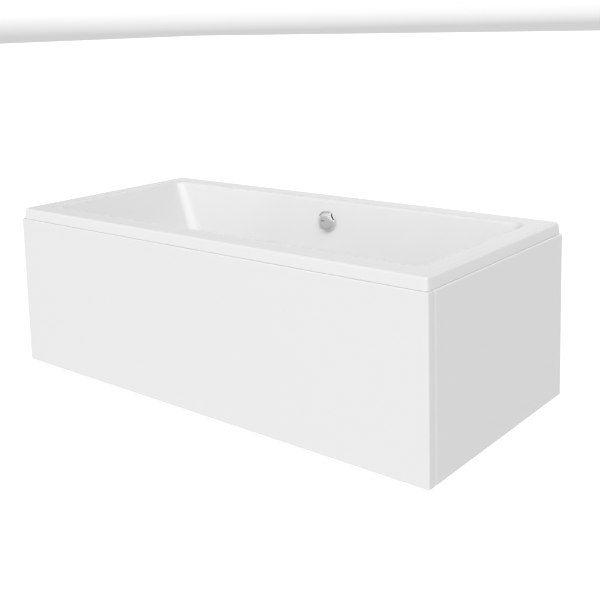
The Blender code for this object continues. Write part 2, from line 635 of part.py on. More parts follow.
def overflow(chrome, rubber, plastic, brass, grey):
    place = overflow_place()
    base = -SHELL
    seal = ring(0.0262, ELBOW_RADIUS, base - CLEARANCE - OVERFLOW_GASKET, base - CLEARANCE)
    add("overflow_seal", seal, rubber, place)

    front = base - OVERFLOW_GASKET - 2 * CLEARANCE
    elbow = add("overflow_elbow", disc(ELBOW_RADIUS, ELBOW_REAR, front), plastic, place)
    spout = place @ along((0, -1, 0), (0, 0, -HOSE_BEHIND))
    combine(elbow, tool("spout_wall", disc(SPOUT_RADIUS, 0.020, SPOUT_END), plastic, spout), "UNION")
    gland = place @ along((0, -1, 0), (GLAND_X, 0, -HOSE_BEHIND))
    gland_shape = disc(GLAND_RADIUS, 0.010, GLAND_ENDS[1], 12)
    combine(elbow, tool("cable_gland_high", gland_shape, plastic, gland), "UNION")
    chamber = disc(0.0258, ELBOW_REAR + ELBOW_WALL, 0.0, FINE)
    combine(elbow, tool("elbow_chamber", chamber, plastic, place), "DIFFERENCE")
    combine(elbow, tool("spout_bore", disc(HOSE_BORE, 0.0, 0.070), plastic, spout), "DIFFERENCE")

    flange = turned([(0.0225, -0.022), (0.0255, -0.022), (0.0255, CLEARANCE), (0.032, CLEARANCE),
                     (0.032, 0.0028), (0.0305, 0.004), (0.0225, 0.004)], FINE)
    flange = add("overflow_flange", flange, chrome, place)
    for number in range(3):
        arm = box((0, -GUIDE, -0.006), (0.0235, GUIDE, 0.002))
        spot = place @ Matrix.Rotation(math.radians(90 + 120 * number), 4, "Z")
        combine(flange, tool(f"flange_arm_{number}", arm, chrome, spot), "UNION")
    combine(flange, tool("flange_hub", disc(HUB_RADIUS, -0.008, 0.003, 16), chrome, place), "UNION")
    hole = disc(SPINDLE_RADIUS + CLEARANCE, -0.02, 0.02, 16)
    combine(flange, tool("flange_hub_hole", hole, chrome, place), "DIFFERENCE")

    inside = KNOB_RADIUS - KNOB_SKIN
    ceiling = KNOB_FRONT - KNOB_SKIN
    socket = SPINDLE_RADIUS + CLEARANCE
    hub, hub_foot = KNOB_HUB
    knob = turned([(0, KNOB_BASE), (KNOB_RADIUS, KNOB_BASE), (KNOB_RADIUS, KNOB_FRONT - 0.003),
                   (KNOB_RADIUS - 0.0009, KNOB_FRONT - 0.0009), (KNOB_RADIUS - 0.003, KNOB_FRONT),
                   (0, KNOB_FRONT)], FINE)
    knob = add("control_knob", knob, chrome, place)
    reach = KNOB_RADIUS - GRIP_DEPTH + GRIP_RADIUS
    grip = place @ Matrix.Translation((reach * math.cos(GRIP_ANGLE), reach * math.sin(GRIP_ANGLE), 0))
    hollow = turned([(0, -0.01), (inside, -0.01), (inside, ceiling), (hub, ceiling), (hub, hub_foot),
                     (0, hub_foot)], FINE)
    hollow = tool("knob_hollow", hollow, chrome, place)
    backing = disc(GRIP_RADIUS + KNOB_SKIN, GRIP_FLOOR - KNOB_SKIN, 0.030, 80)
    combine(hollow, tool("grip_backing", backing, chrome, grip), "DIFFERENCE")
    combine(knob, hollow, "DIFFERENCE")
    combine(knob, tool("knob_socket", disc(socket, -0.01, ceiling - 0.002, 16), chrome, place), "DIFFERENCE")
    grip_shape = disc(GRIP_RADIUS, GRIP_FLOOR, 0.030, 80)
    combine(knob, tool("grip_cutter", grip_shape, chrome, grip), "DIFFERENCE")
    add("knob_spindle", disc(SPINDLE_RADIUS, ELBOW_REAR + 0.004, ceiling - 0.003, 16), brass, place)
    drum = turned([(socket, -0.034), (0.013, -0.034), (0.013, -0.032), (0.011, -0.031), (0.011, -0.028),
                   (0.013, -0.027), (0.013, -0.025), (socket, -0.025)], COARSE)
    add("cable_drum", drum, plastic, place)

    down = place.to_3x3() @ Vector((0, -1, 0))
    spout_end = place @ Vector((0, -SPOUT_END - CLEARANCE, -HOSE_BEHIND))
    inlet_end = Vector((0, SPOUT_END + CLEARANCE, INLET_Z))
    path = down_the_wall(spout_end) + [inlet_end]
    add("overflow_hose", swept_pipe(path, HOSE_RADIUS, HOSE_BORE, 12), plastic)
    nut_places = {"hose_nut_top": along(down, spout_end), "hose_nut_bottom": along((0, 1, 0), inlet_end)}
    for name, spot in nut_places.items():
        add(name, ring(*HOSE_NUT), grey, spot)

    cable_start = place @ Vector((GLAND_X, -GLAND_ENDS[1] - CLEARANCE, -HOSE_BEHIND))
    entry = Vector(CABLE_ENTRY)
    cable_end = Vector((0, 0, LEVER_PIVOT_Z)) + (GLAND_ENDS[0] + CLEARANCE) * entry
    wall_run = down_the_wall(cable_start)
    last_run = smooth_route([wall_run[-1], (0.036, 0.130, 0.104), (0.046, 0.078, 0.094),
                             cable_end + 0.018 * entry, cable_end], 0.012)
    add("bowden_cable", swept_pipe(wall_run[:-1] + last_run, CABLE_RADIUS, 0.0, 8), rubber)


def down_the_wall(start_point):
    """Points down the back of the side wall and round under the basin, keeping their distance from it."""
    foot_y = DECK_Y - wall_offset(BASIN_DEPTH, SIDE_SLOPE, 0.0)
    foot_z = HEIGHT - BASIN_DEPTH + BASIN_FILLET
    reach = BASIN_FILLET + HOSE_BEHIND
    points = [start_point]
    for step in range(9):
        angle = -SIDE_SLOPE - (math.pi / 2 - SIDE_SLOPE) * step / 8
        y, z = foot_y + reach * math.cos(angle), foot_z + reach * math.sin(angle)
        points.append(Vector((start_point.x, y, z)))
    return points


def main():
    start()
    acrylic = material("white_acrylic", (0.86, 0.86, 0.855), 0.12)
    panel_acrylic = material("panel_acrylic", (0.86, 0.86, 0.855), 0.16)
    chrome = material("chrome", (0.80, 0.80, 0.80), 0.07, 1.0)
    steel = material("zinc_steel", (0.55, 0.56, 0.57), 0.38, 1.0)
    brass = material("brass", (0.62, 0.50, 0.28), 0.30, 1.0)
    timber = material("timber", (0.55, 0.40, 0.25), 0.75)
    board = material("board", (0.60, 0.49, 0.34), 0.80)
    plastic = material("white_plastic", (0.72, 0.72, 0.70), 0.45)
    grey = material("grey_plastic", (0.30, 0.31, 0.32), 0.50)
    black = material("black_plastic", (0.03, 0.03, 0.03), 0.55)
    rubber = material("black_rubber", (0.02, 0.02, 0.02), 0.80)

    tub_shell(acrylic)
    panels(panel_acrylic)
    rim_batten("front_batten", 1, -1, timber)
    rim_batten("back_batten", 1, 1, timber)
    rim_batten("left_batten", 0, -1, timber)
    rim_batten("right_batten", 0, 1, timber)
    for side_x, across in ((-1, "left"), (1, "right")):
        base_board(f"base_board_{across}", side_x, board)
        leg_rail(f"leg_rail_{across}", side_x, steel)
        for side_y, deep in ((-1, "front"), (1, "back")):
            corner = f"{deep}_{across}"
            corner_post("corner_post_" + corner, side_x, side_y, timber)
            panel_bracket("panel_bracket_" + corner, side_x, side_y, steel)
            foot(corner, side_x, side_y, steel, black)
            rail_screw(corner, side_x, side_y, steel)
    waste(chrome, rubber, plastic, brass)
    trap(plastic, grey)
    overflow(chrome, rubber, plastic, brass, grey)


main()
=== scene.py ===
"""The look of the double-ended bathtub: basin, clip-on panels, chrome overflow knob and the pieces below.

Metres, +Z up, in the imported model's own frame: the origin is on the floor under the middle of the tub,
the long front panel faces -Y and the overflow knob is in the middle of the far wall.
"""

import json
import math

import bmesh
import bpy
from mathutils import Matrix, Vector

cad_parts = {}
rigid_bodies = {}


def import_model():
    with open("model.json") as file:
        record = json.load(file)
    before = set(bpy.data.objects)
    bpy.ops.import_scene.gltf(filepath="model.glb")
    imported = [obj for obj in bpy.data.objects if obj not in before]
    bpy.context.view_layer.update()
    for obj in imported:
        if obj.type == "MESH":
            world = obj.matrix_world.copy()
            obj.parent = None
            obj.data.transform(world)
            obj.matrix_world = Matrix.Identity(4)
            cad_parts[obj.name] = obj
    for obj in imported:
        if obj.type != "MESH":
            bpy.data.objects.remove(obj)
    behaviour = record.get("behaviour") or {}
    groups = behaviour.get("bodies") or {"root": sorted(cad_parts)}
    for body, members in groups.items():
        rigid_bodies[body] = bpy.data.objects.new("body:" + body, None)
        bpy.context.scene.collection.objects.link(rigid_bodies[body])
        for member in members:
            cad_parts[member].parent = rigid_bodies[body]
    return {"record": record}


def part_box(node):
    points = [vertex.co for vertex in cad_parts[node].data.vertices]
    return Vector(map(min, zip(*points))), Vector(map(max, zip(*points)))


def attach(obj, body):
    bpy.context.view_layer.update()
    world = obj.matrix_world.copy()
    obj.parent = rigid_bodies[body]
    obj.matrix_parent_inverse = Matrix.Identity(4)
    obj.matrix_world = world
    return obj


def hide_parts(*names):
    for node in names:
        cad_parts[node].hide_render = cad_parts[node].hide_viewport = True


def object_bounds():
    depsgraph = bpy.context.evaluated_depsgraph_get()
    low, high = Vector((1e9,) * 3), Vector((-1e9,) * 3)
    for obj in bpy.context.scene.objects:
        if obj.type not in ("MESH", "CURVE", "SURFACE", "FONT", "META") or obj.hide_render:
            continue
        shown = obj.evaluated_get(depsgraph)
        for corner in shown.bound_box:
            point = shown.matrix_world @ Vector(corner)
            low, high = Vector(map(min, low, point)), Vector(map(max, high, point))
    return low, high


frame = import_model()
cad_low, cad_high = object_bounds()
slots = {part["node"]: part["material_slot"] for part in frame["record"]["subparts"]}

# Driving dimensions, the same as the CAD model's
LENGTH = cad_high.x - cad_low.x
WIDTH = cad_high.y - cad_low.y
HEIGHT = cad_high.z

RIM_INSET = 0.005
RIM_FACE = 0.038
RIM_DRAFT = 0.002
RIM_EDGE_RADIUS = 0.009
RIM_CORNER_RADIUS = 0.010
LIP_RADIUS = 0.0008     # soft lower edge of the rim's lip
SHELL = 0.007
END_DECK = 0.058
SIDE_DECK = 0.074
BASIN_EDGE_RADIUS = 0.012
BASIN_DEPTH = 0.430
END_SLOPE = math.radians(26)
SIDE_SLOPE = math.radians(7)
BASIN_FILLET = 0.070
BASIN_CORNER_TOP = 0.045
BASIN_CORNER_BOTTOM = 0.095
DECK_X = LENGTH / 2 - RIM_INSET - END_DECK - RIM_EDGE_RADIUS / 2
DECK_Y = WIDTH / 2 - RIM_INSET - SIDE_DECK

DISH_DEPTH = 0.004
DISH_RADIUS = 0.044
WASTE_HOLE = 0.026

PANEL_GAP = 0.0005
FLOOR_GAP = 0.003
PANEL_SKIN = 0.005
PANEL_TOP = HEIGHT - RIM_FACE - PANEL_GAP
PANEL_TOP_RADIUS = 0.004
CORNER_RADIUS = 0.005
JOINT_RADIUS = 0.012
LONG_RETURN = 0.028
END_RETURN = 0.025
PANEL_JOINT = 0.0015

OVERFLOW_DROP = 0.077
OVERFLOW_HOLE = 0.026
KNOB_RADIUS = 0.036
KNOB_FRONT = 0.020
KNOB_SKIN = 0.0025
GRIP_ANGLE = math.radians(31)
GRIP_RADIUS = 0.042
GRIP_DEPTH = 0.0068
GRIP_FLOOR = 0.0095
KNOB_BASE = 0.003
KNOB_HUB = (0.0085, 0.0045)
INDEX_BAR = (-0.0165, -0.0010, 0.0014)    # where the bar starts and stops on the face, and half its width
KNOB_PILLOW = 0.0045    # how far the knob's face falls away towards its rim
SPINDLE_RADIUS = 0.004
CLEARANCE = 0.0003

FLOOR_TOP = HEIGHT - BASIN_DEPTH
FLOOR_UNDER = FLOOR_TOP - SHELL

TIMBER_EDGE = 0.0015
BOARD_CHAMFER = 0.001
RAIL_WALL = 0.002
STUD_RADIUS = 0.006
STUD_PITCH = 0.00175
PAD_BASE = 0.006
PAD_TOP = 0.022
NUT_FLATS = 0.019
BRACKET = 0.003
BEND_RADIUS = 0.004     # inside of a bracket's bend
SCREW_RADIUS = 0.0025
SCREW_PITCH = 0.0012
SCREW_HEAD = (0.0055, 0.003)

GASKET_BORE = 0.0257
THROAT_RADIUS = 0.0205
GUIDE = 0.0015
HUB_RADIUS = 0.0075
PLUG_STEM_RADIUS = 0.004
LEVER_PIVOT = (0, 0.017, 0.0885)
LEVER_PIN_RADIUS = 0.002
PIPE_RADIUS = 0.020
PIPE_BORE = 0.0175
TRAP_LOW = 0.028
TRAP_BEND = 0.024
TRAP_LIFT = 0.020
TRAP_END = 0.150
BODY_LOW = 0.056
INLET_Z = 0.106
HOSE_RADIUS = 0.0145
HOSE_BORE = 0.0115
HOSE_RIB = 0.0045       # from one corrugation to the next
HOSE_BEHIND = 0.030
HOSE_NUT = (0.0163, 0.0205, -0.010, 0.008)
SPOUT_RADIUS = 0.016
SPOUT_END = 0.056
GLAND_RADIUS = 0.004
GLAND_X = 0.0262
GLAND_ENDS = (0.040, 0.038)
ELBOW_RADIUS = 0.031
ELBOW_WALL = 0.003
ELBOW_REAR = -0.044
CABLE_RADIUS = 0.003
CABLE_ENTRY = (math.cos(math.radians(55)), math.sin(math.radians(55)), 0)

# Camera
CAMERA_PLACE = (2.0792, -2.3992, 1.2112)
CAMERA_AZIMUTH = math.radians(39.20)
CAMERA_ELEVATION = math.radians(8.07)
CAMERA_ROLL = math.radians(-1.44)
CAMERA_LENS = 57.68
CAMERA_SHIFT = -0.24
SENSOR_WIDTH = 36.0     # millimetres, like the lens

# Light: wide banks before and behind the tub, a pale floor, and a broad soft lamp from the right and above
FLOOR_GREY = 0.64       # light from below the horizon
LONG_BANKS = 0.97       # light from straight in front and straight behind
END_BANKS = 0.18        # light from the two ends
HORIZON_BAND = math.radians(6.5)    # white up to here, on the far side only
HORIZON_FADE = math.radians(2.5)
FLOOR_HALF = 60
KEY_POWER = 1.39
KEY_FROM = (0.35, -0.60, 0.72)
KEY_SPREAD = math.radians(60)

ACRYLIC_WHITE = (0.90, 0.90, 0.90)
FINE = 96
SHARP = 35              # an edge at a wider angle than this, in degrees, stays crisp
ROUND_STEPS = 12        # facets in a rounded corner of the basin
EDGE_STEPS = 10         # facets in a rounded edge

scene_objects = bpy.context.scene.collection.objects


# Materials

def new_material(name):
    made = bpy.data.materials.new(name)
    made.use_nodes = True
    tree = made.node_tree
    return made, tree, tree.nodes["Principled BSDF"]


def node(tree, kind, **settings):
    """A shader node; a setting whose name is an input's sets that input."""
    made = tree.nodes.new(kind)
    for key, value in settings.items():
        if hasattr(made, key):
            setattr(made, key, value)
        else:
            made.inputs[key.replace("_", " ")].default_value = value
    return made


def coordinates(tree, stretch=(1, 1, 1)):
    """Object coordinates in metres, stretched along each axis."""
    source = node(tree, "ShaderNodeTexCoord")
    mapping = node(tree, "ShaderNodeMapping", Scale=stretch)
    tree.links.new(source.outputs["Object"], mapping.inputs["Vector"])
    return mapping.outputs["Vector"]


def connect(tree, made, inputs):
    """Feed each named or numbered input from a socket, or set it to a plain value."""
    for name, value in inputs.items():
        if isinstance(value, bpy.types.NodeSocket):
            tree.links.new(value, made.inputs[name])
        else:
            made.inputs[name].default_value = value


def texture(tree, kind, where, **settings):
    """A texture node read at the given coordinates."""
    made = node(tree, "ShaderNodeTex" + kind, **settings)
    tree.links.new(where, made.inputs["Vector"])
    return made


def noise(tree, where, scale, detail=3.0, roughness=0.5):
    return texture(tree, "Noise", where, Scale=scale, Detail=detail, Roughness=roughness).outputs["Fac"]


def flakes(tree, where, scale, channel):
    """Flat cells of random tone, and each point's distance from its cell's middle."""
    cells = texture(tree, "Voronoi", where, Scale=scale)
    split = node(tree, "ShaderNodeSeparateColor")
    tree.links.new(cells.outputs["Color"], split.inputs["Color"])
    return split.outputs[channel], cells.outputs["Distance"]


def between(tree, value, low, high, from_low=0.3, from_high=0.7):
    made = node(tree, "ShaderNodeMapRange")
    connect(tree, made, {"Value": value, "From Min": from_low, "From Max": from_high,
                         "To Min": low, "To Max": high})
    return made.outputs["Result"]


def blend(tree, share, first, second):
    """A number that goes from first to second as share goes from 0 to 1."""
    made = node(tree, "ShaderNodeMix", data_type="FLOAT")
    connect(tree, made, {"Factor": share, "A": first, "B": second})
    return made.outputs["Result"]


def arithmetic(tree, operation, first, second=0.0):
    made = node(tree, "ShaderNodeMath", operation=operation)
    connect(tree, made, {0: first, 1: second})
    return made.outputs["Value"]


def tint(tree, value, stops):
    """A colour ramp driven by a value; stops are (position, colour)."""
    made = node(tree, "ShaderNodeValToRGB")
    ramp = made.color_ramp
    while len(ramp.elements) < len(stops):
        ramp.elements.new(0.5)
    for element, (position, colour) in zip(ramp.elements, stops):
        element.position = position
        element.color = (*colour, 1.0)
    tree.links.new(value, made.inputs["Fac"])
    return made.outputs["Color"]


def bump(tree, shader, height, distance, strength=1.0):
    made = node(tree, "ShaderNodeBump", Strength=strength, Distance=distance)
    tree.links.new(height, made.inputs["Height"])
    tree.links.new(made.outputs["Normal"], shader.inputs["Normal"])
    return made


def acrylic(name, roughness, colour):
    """Glossy sanitary acrylic: a clear depth over white, with the faint waviness of a formed sheet."""
    made, tree, shader = new_material(name)
    place = coordinates(tree)
    wave = noise(tree, place, 7.0, 2.0, 0.4)
    grain = noise(tree, place, 900.0, 2.0, 0.6)
    warm = tuple(channel * factor for channel, factor in zip(colour, (1.0, 0.999, 0.996)))
    shade = tint(tree, noise(tree, place, 2.2, 3.0, 0.5), [(0.35, colour), (0.65, warm)])
    polish = between(tree, wave, roughness * 0.85, roughness * 1.2)
    connect(tree, shader, {"Base Color": shade, "Roughness": polish, "Coat Weight": 0.35,
                           "Coat Roughness": 0.04, "IOR": 1.49})
    soft = bump(tree, shader, wave, 0.0004, 0.25)
    fine = bump(tree, shader, grain, 0.00002, 0.10)
    tree.links.new(soft.outputs["Normal"], fine.inputs["Normal"])
    return made


def metal(name, colour, roughness, spread=0.25, grain=400.0, stretch=(1, 1, 1), depth=0.00002):
    """Bare or plated metal with fine uneven polish."""
    made, tree, shader = new_material(name)
    place = coordinates(tree, stretch)
    fleck = noise(tree, place, grain, 4.0, 0.6)
    dark = tuple(channel * 0.9 for channel in colour)
    polish = between(tree, fleck, roughness * (1 - spread), roughness * (1 + spread))
    connect(tree, shader, {"Base Color": tint(tree, fleck, [(0.3, dark), (0.7, colour)]), "Metallic": 1.0,
                           "Roughness": polish})
    bump(tree, shader, fleck, depth, 0.3)
    return made


def plated_steel(name):
    """Zinc plate with its pale crystal spangle."""
    made, tree, shader = new_material(name)
    place = coordinates(tree)
    fleck, _ = flakes(tree, place, 260.0, "Red")
    shade = tint(tree, fleck, [(0.0, (0.46, 0.47, 0.49)), (1.0, (0.60, 0.61, 0.62))])
    connect(tree, shader, {"Base Color": shade, "Metallic": 1.0,
                           "Roughness": between(tree, fleck, 0.28, 0.48, 0.0, 1.0)})
    bump(tree, shader, noise(tree, place, 700.0), 0.00003, 0.4)
    return made


def timber(name, direction):
    """Planed softwood whose grain runs along X, Y or Z."""
    made, tree, shader = new_material(name)
    stretch = {"X": (0.6, 9.0, 9.0), "Y": (9.0, 0.6, 9.0), "Z": (9.0, 9.0, 0.6)}[direction]
    place = coordinates(tree, stretch)
    bend = noise(tree, place, 2.0, 3.0, 0.5)
    rings = texture(tree, "Wave", place, Scale=2.6, Distortion=5.0, Detail=3.0, Detail_Scale=1.4,
                    wave_type="RINGS")
    mixed = node(tree, "ShaderNodeMath", operation="MULTIPLY_ADD")
    connect(tree, mixed, {0: rings.outputs["Fac"], 1: 0.6, 2: bend})
    stops = [(0.25, (0.30, 0.18, 0.09)), (0.55, (0.52, 0.35, 0.19)), (0.95, (0.64, 0.47, 0.28))]
    connect(tree, shader, {"Base Color": tint(tree, mixed.outputs["Value"], stops),
                           "Roughness": between(tree, bend, 0.62, 0.85)})
    bump(tree, shader, mixed.outputs["Value"], 0.0003, 0.5)
    return made


def chipboard(name):
    """Raw particle board: pressed flakes of different tones."""
    made, tree, shader = new_material(name)
    place = coordinates(tree, (1, 1.6, 1))
    tone, distance = flakes(tree, place, 220.0, "Green")
    stops = [(0.0, (0.34, 0.24, 0.14)), (0.45, (0.55, 0.42, 0.27)), (1.0, (0.72, 0.60, 0.42))]
    connect(tree, shader, {"Base Color": tint(tree, tone, stops), "Roughness": 0.85})
    bump(tree, shader, distance, 0.0006, 0.6)
    return made


def moulded(name, colour, roughness, grain=600.0, depth=0.00008, strength=0.5):
    """Moulded plastic or rubber with a fine skin texture."""
    made, tree, shader = new_material(name)
    place = coordinates(tree)
    skin = noise(tree, place, grain, 4.0, 0.6)
    cloud = noise(tree, place, 30.0, 2.0, 0.5)
    worn = tuple(min(1.0, channel * 1.10 + 0.006) for channel in colour)
    connect(tree, shader, {"Base Color": tint(tree, cloud, [(0.3, colour), (0.7, worn)]),
                           "Roughness": between(tree, cloud, roughness * 0.88, min(1.0, roughness * 1.12))})
    bump(tree, shader, skin, depth, strength)
    return made


# Building tools

def finish_mesh(name, bm, material, place=None, sharp=SHARP):
    """Turn a bmesh into a named object with smooth faces and crisp edges."""
    bmesh.ops.remove_doubles(bm, verts=bm.verts, dist=1e-6)
    bmesh.ops.recalc_face_normals(bm, faces=bm.faces)
    mesh = bpy.data.meshes.new(name)
    bm.to_mesh(mesh)
    bm.free()
    mesh.materials.append(material)
    mesh.shade_smooth()
    mesh.set_sharp_from_angle(angle=math.radians(sharp))
    piece = bpy.data.objects.new(name, mesh)
    if place is not None:
        piece.matrix_world = place
    scene_objects.link(piece)
    return piece


def cut(piece, bm, place=None, operation="DIFFERENCE"):
    """Combine a shape with a piece for good, and throw the shape away."""
    shape = finish_mesh("shape", bm, piece.data.materials[0], place)
    step = piece.modifiers.new("cut", "BOOLEAN")
    step.operation = operation
    step.solver = "EXACT"
    step.object = shape
    bpy.context.view_layer.update()
    graph = bpy.context.evaluated_depsgraph_get()
    mesh = bpy.data.meshes.new_from_object(piece.evaluated_get(graph))
    piece.modifiers.clear()
    piece.data = mesh
    mesh.shade_smooth()
    mesh.set_sharp_from_angle(angle=math.radians(SHARP))
    bpy.data.objects.remove(shape, do_unlink=True)


def join(piece, bm, place=None):
    cut(piece, bm, place, "UNION")


def even_shading(piece):
    """Weigh normals by face area, so that flat faces stay flat up to their rounded edges."""
    step = piece.modifiers.new("even_shading", "WEIGHTED_NORMAL")
    step.keep_sharp = True
    step.weight = 100


def box(low, high):
    bm = bmesh.new()
    bmesh.ops.create_cube(bm, size=1.0)
    size = [high[axis] - low[axis] for axis in range(3)]
    middle = [(high[axis] + low[axis]) / 2 for axis in range(3)]
    bmesh.ops.scale(bm, vec=size, verts=bm.verts)
    bmesh.ops.translate(bm, vec=middle, verts=bm.verts)
    return bm


def round_edges(bm, radius, wanted, steps=EDGE_STEPS):
    """Round the edges whose two ends both satisfy wanted(point)."""
    edges = [edge for edge in bm.edges if all(wanted(vert.co) for vert in edge.verts)]
    bmesh.ops.bevel(bm, geom=edges, offset=radius, segments=steps, profile=0.5, affect="EDGES")


def turned(profile, facets=FINE):
    """Turn a closed outline of (radius, height) points about Z."""
    bm = bmesh.new()
    columns = []
    for radius, height in profile:
        if radius <= 0:
            columns.append([bm.verts.new((0, 0, height))] * facets)
        else:
            columns.append([bm.verts.new((radius * math.cos(a), radius * math.sin(a), height))
                            for a in (2 * math.pi * step / facets for step in range(facets))])
    for i, column in enumerate(columns):
        before = columns[i - 1]
        if profile[i][0] <= 0 and profile[i - 1][0] <= 0:
            continue
        for j in range(facets):
            corners = [before[j - 1], before[j], column[j], column[j - 1]]
            if len(set(corners)) >= 3:
                bm.faces.new(sorted(set(corners), key=corners.index))
    return bm


def disc(radius, low, high, facets=FINE):
    return turned([(0, low), (radius, low), (radius, high), (0, high)], facets)


def arc(centre, radius, start, end, steps=6):
    """Points on an arc in the (radius, height) plane, angles in degrees."""
    return [(centre[0] + radius * math.cos(math.radians(start + (end - start) * step / steps)),
             centre[1] + radius * math.sin(math.radians(start + (end - start) * step / steps)))
            for step in range(steps + 1)]


def rounded_disc(radius, low, high, edge, facets=FINE):
    """A solid disc or rod with both rims rounded."""
    profile = [(0, low)] + arc((radius - edge, low + edge), edge, -90, 0, 4)
    profile += arc((radius - edge, high - edge), edge, 0, 90, 4) + [(0, high)]
    return turned(profile, facets)


def rounded_ring(inner, outer, low, high, radius, facets=FINE):
    """A turned ring whose four corners are all rounded."""
    profile = arc((outer - radius, low + radius), radius, -90, 0, 4)
    profile += arc((outer - radius, high - radius), radius, 0, 90, 4)
    profile += arc((inner + radius, high - radius), radius, 90, 180, 4)
    profile += arc((inner + radius, low + radius), radius, 180, 270, 4)
    return turned(profile, facets)


def rounded_rectangle(half_x, half_y, radius, steps=ROUND_STEPS):
    points = []
    for quarter, (sign_x, sign_y) in enumerate(((1, 1), (-1, 1), (-1, -1), (1, -1))):
        centre = (sign_x * (half_x - radius), sign_y * (half_y - radius))
        for step in range(steps + 1):
            angle = math.pi / 2 * (quarter + step / steps)
            points.append((centre[0] + radius * math.cos(angle), centre[1] + radius * math.sin(angle)))
    return points


def loft(rings):
    """Skin a closed list of (outline, height) rings, the last joined back to the first."""
    bm = bmesh.new()
    levels = [[bm.verts.new((x, y, height)) for x, y in outline] for outline, height in rings]
    for i, upper in enumerate(levels):
        lower = levels[i - 1]
        for j in range(len(lower)):
            bm.faces.new((lower[j - 1], lower[j], upper[j], upper[j - 1]))
    return bm


def along(direction, origin=(0, 0, 0)):
    """A placement whose own Z runs along direction."""
    turn = Vector(direction).to_track_quat("Z", "Y").to_matrix().to_4x4()
    return Matrix.Translation(origin) @ turn


def soften(bm, radius, steps=3):
    """Round every edge where two faces meet at a clear angle."""
    edges = [edge for edge in bm.edges if edge.calc_face_angle(0) > 0.8]
    bmesh.ops.bevel(bm, geom=edges, offset=radius, segments=steps, profile=0.5, affect="EDGES")
    return bm


def extruded(outline, low, high):
    """A prism along Z with the given outline."""
    bm = bmesh.new()
    ends = [[bm.verts.new((x, y, height)) for x, y in outline] for height in (low, high)]
    for i in range(len(outline)):
        bm.faces.new((ends[0][i - 1], ends[0][i], ends[1][i], ends[1][i - 1]))
    bm.faces.new(ends[0])
    bm.faces.new(ends[1])
    return bm


def ribbed_ring(bore, radius, low, high, ribs=18, groove=0.001, edge=0.0012):
    """A nut turned by hand: a ring with rounded grip ribs round it."""
    angles = [2 * math.pi * step / (8 * ribs) for step in range(8 * ribs)]

    def outline(reach, depth):
        reaches = [reach - depth * (0.5 - 0.5 * math.cos(ribs * angle)) for angle in angles]
        return [(r * math.cos(angle), r * math.sin(angle)) for r, angle in zip(reaches, angles)]

    turns = [math.pi / 8 * step for step in range(5)]
    rings = [(outline(radius - edge * (1 - math.sin(a)), groove), low + edge * (1 - math.cos(a)))
             for a in turns]
    rings += [(outline(radius - edge * (1 - math.cos(a)), groove), high - edge * (1 - math.sin(a)))
              for a in turns]
    rings += [(outline(bore, 0), high), (outline(bore, 0), low)]
    return loft(rings)


def threaded(radius, low, high, pitch, depth, facets=24):
    """A rod with a helical thread, running out to a plain chamfer at both ends."""
    steps = math.ceil((high - low) / pitch * 6)
    bm = bmesh.new()
    levels = []
    for step in range(steps + 1):
        height = low + (high - low) * step / steps
        fade = min(1.0, (height - low) / pitch, (high - height) / pitch)
        level = []
        for facet in range(facets):
            tooth = 2 * abs((height / pitch - facet / facets) % 1 - 0.5)
            reach = radius - depth * (1 - tooth * fade)
            angle = 2 * math.pi * facet / facets
            level.append(bm.verts.new((reach * math.cos(angle), reach * math.sin(angle), height)))
        levels.append(level)
    for lower, upper in zip(levels, levels[1:]):
        for i in range(facets):
            bm.faces.new((lower[i - 1], lower[i], upper[i], upper[i - 1]))
    bm.faces.new(levels[0])
    bm.faces.new(levels[-1])
    return bm


def evenly(path, spacing):
    """Points at even distances along a path."""
    lengths = [(there - here).length for here, there in zip(path, path[1:])]
    count = math.ceil(sum(lengths) / spacing)
    made = []
    leg, passed = 0, 0.0
    for step in range(count + 1):
        distance = sum(lengths) * step / count
        while leg < len(lengths) - 1 and distance > passed + lengths[leg]:
            passed += lengths[leg]
            leg += 1
        made.append(path[leg].lerp(path[leg + 1], min(1.0, (distance - passed) / lengths[leg])))
    return made


def smooth_route(points, spacing):
    """Points every spacing or so along a Catmull-Rom curve through the route's own points."""
    route = [Vector(point) for point in points]
    padded = [2 * route[0] - route[1]] + route + [2 * route[-1] - route[-2]]
    path = []
    for i in range(1, len(padded) - 2):
        before, here, there, after = padded[i - 1:i + 3]
        count = max(1, round((there - here).length / spacing))
        for step in range(count):
            t = step / count
            path.append(0.5 * (2 * here + (there - before) * t
                               + (2 * before - 5 * here + 4 * there - after) * t * t
                               + (3 * here - before - 3 * there + after) * t ** 3))
    path.append(route[-1])
    return path


def swept(path, radii, bore, sides=32):
    """A pipe along a path with its own outer radius at each point; a bore of zero makes a solid cord."""
    bm = bmesh.new()
    tubes = [[], []]
    across = Vector((1, 0, 0))
    for i, point in enumerate(path):
        ahead = (path[min(i + 1, len(path) - 1)] - path[max(i - 1, 0)]).normalized()
        if abs(across.dot(ahead)) > 0.9:
            across = Vector((0, 1, 0))
        across = (across - ahead * across.dot(ahead)).normalized()
        side = ahead.cross(across)
        for tube, radius in zip(tubes, (radii[i], bore)):
            if radius > 0:
                spokes = [math.cos(a) * across + math.sin(a) * side
                          for a in (2 * math.pi * step / sides for step in range(sides))]
                tube.append([bm.verts.new(point + radius * spoke) for spoke in spokes])
    outer, inner = tubes
    rings = outer + list(reversed(inner))
    for here, there in zip(rings, rings[1:]):
        for i in range(sides):
            bm.faces.new((here[i - 1], here[i], there[i], there[i - 1]))
    if inner:
        for i in range(sides):
            bm.faces.new((inner[0][i - 1], inner[0][i], outer[0][i], outer[0][i - 1]))
    else:
        bm.faces.new(outer[0])
        bm.faces.new(outer[-1])
    return bm


def under(name):
    """The placement on the floor below the middle of a CAD node."""
    low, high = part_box(name)
    middle = (low + high) / 2
    return Matrix.Translation((middle.x, middle.y, 0))


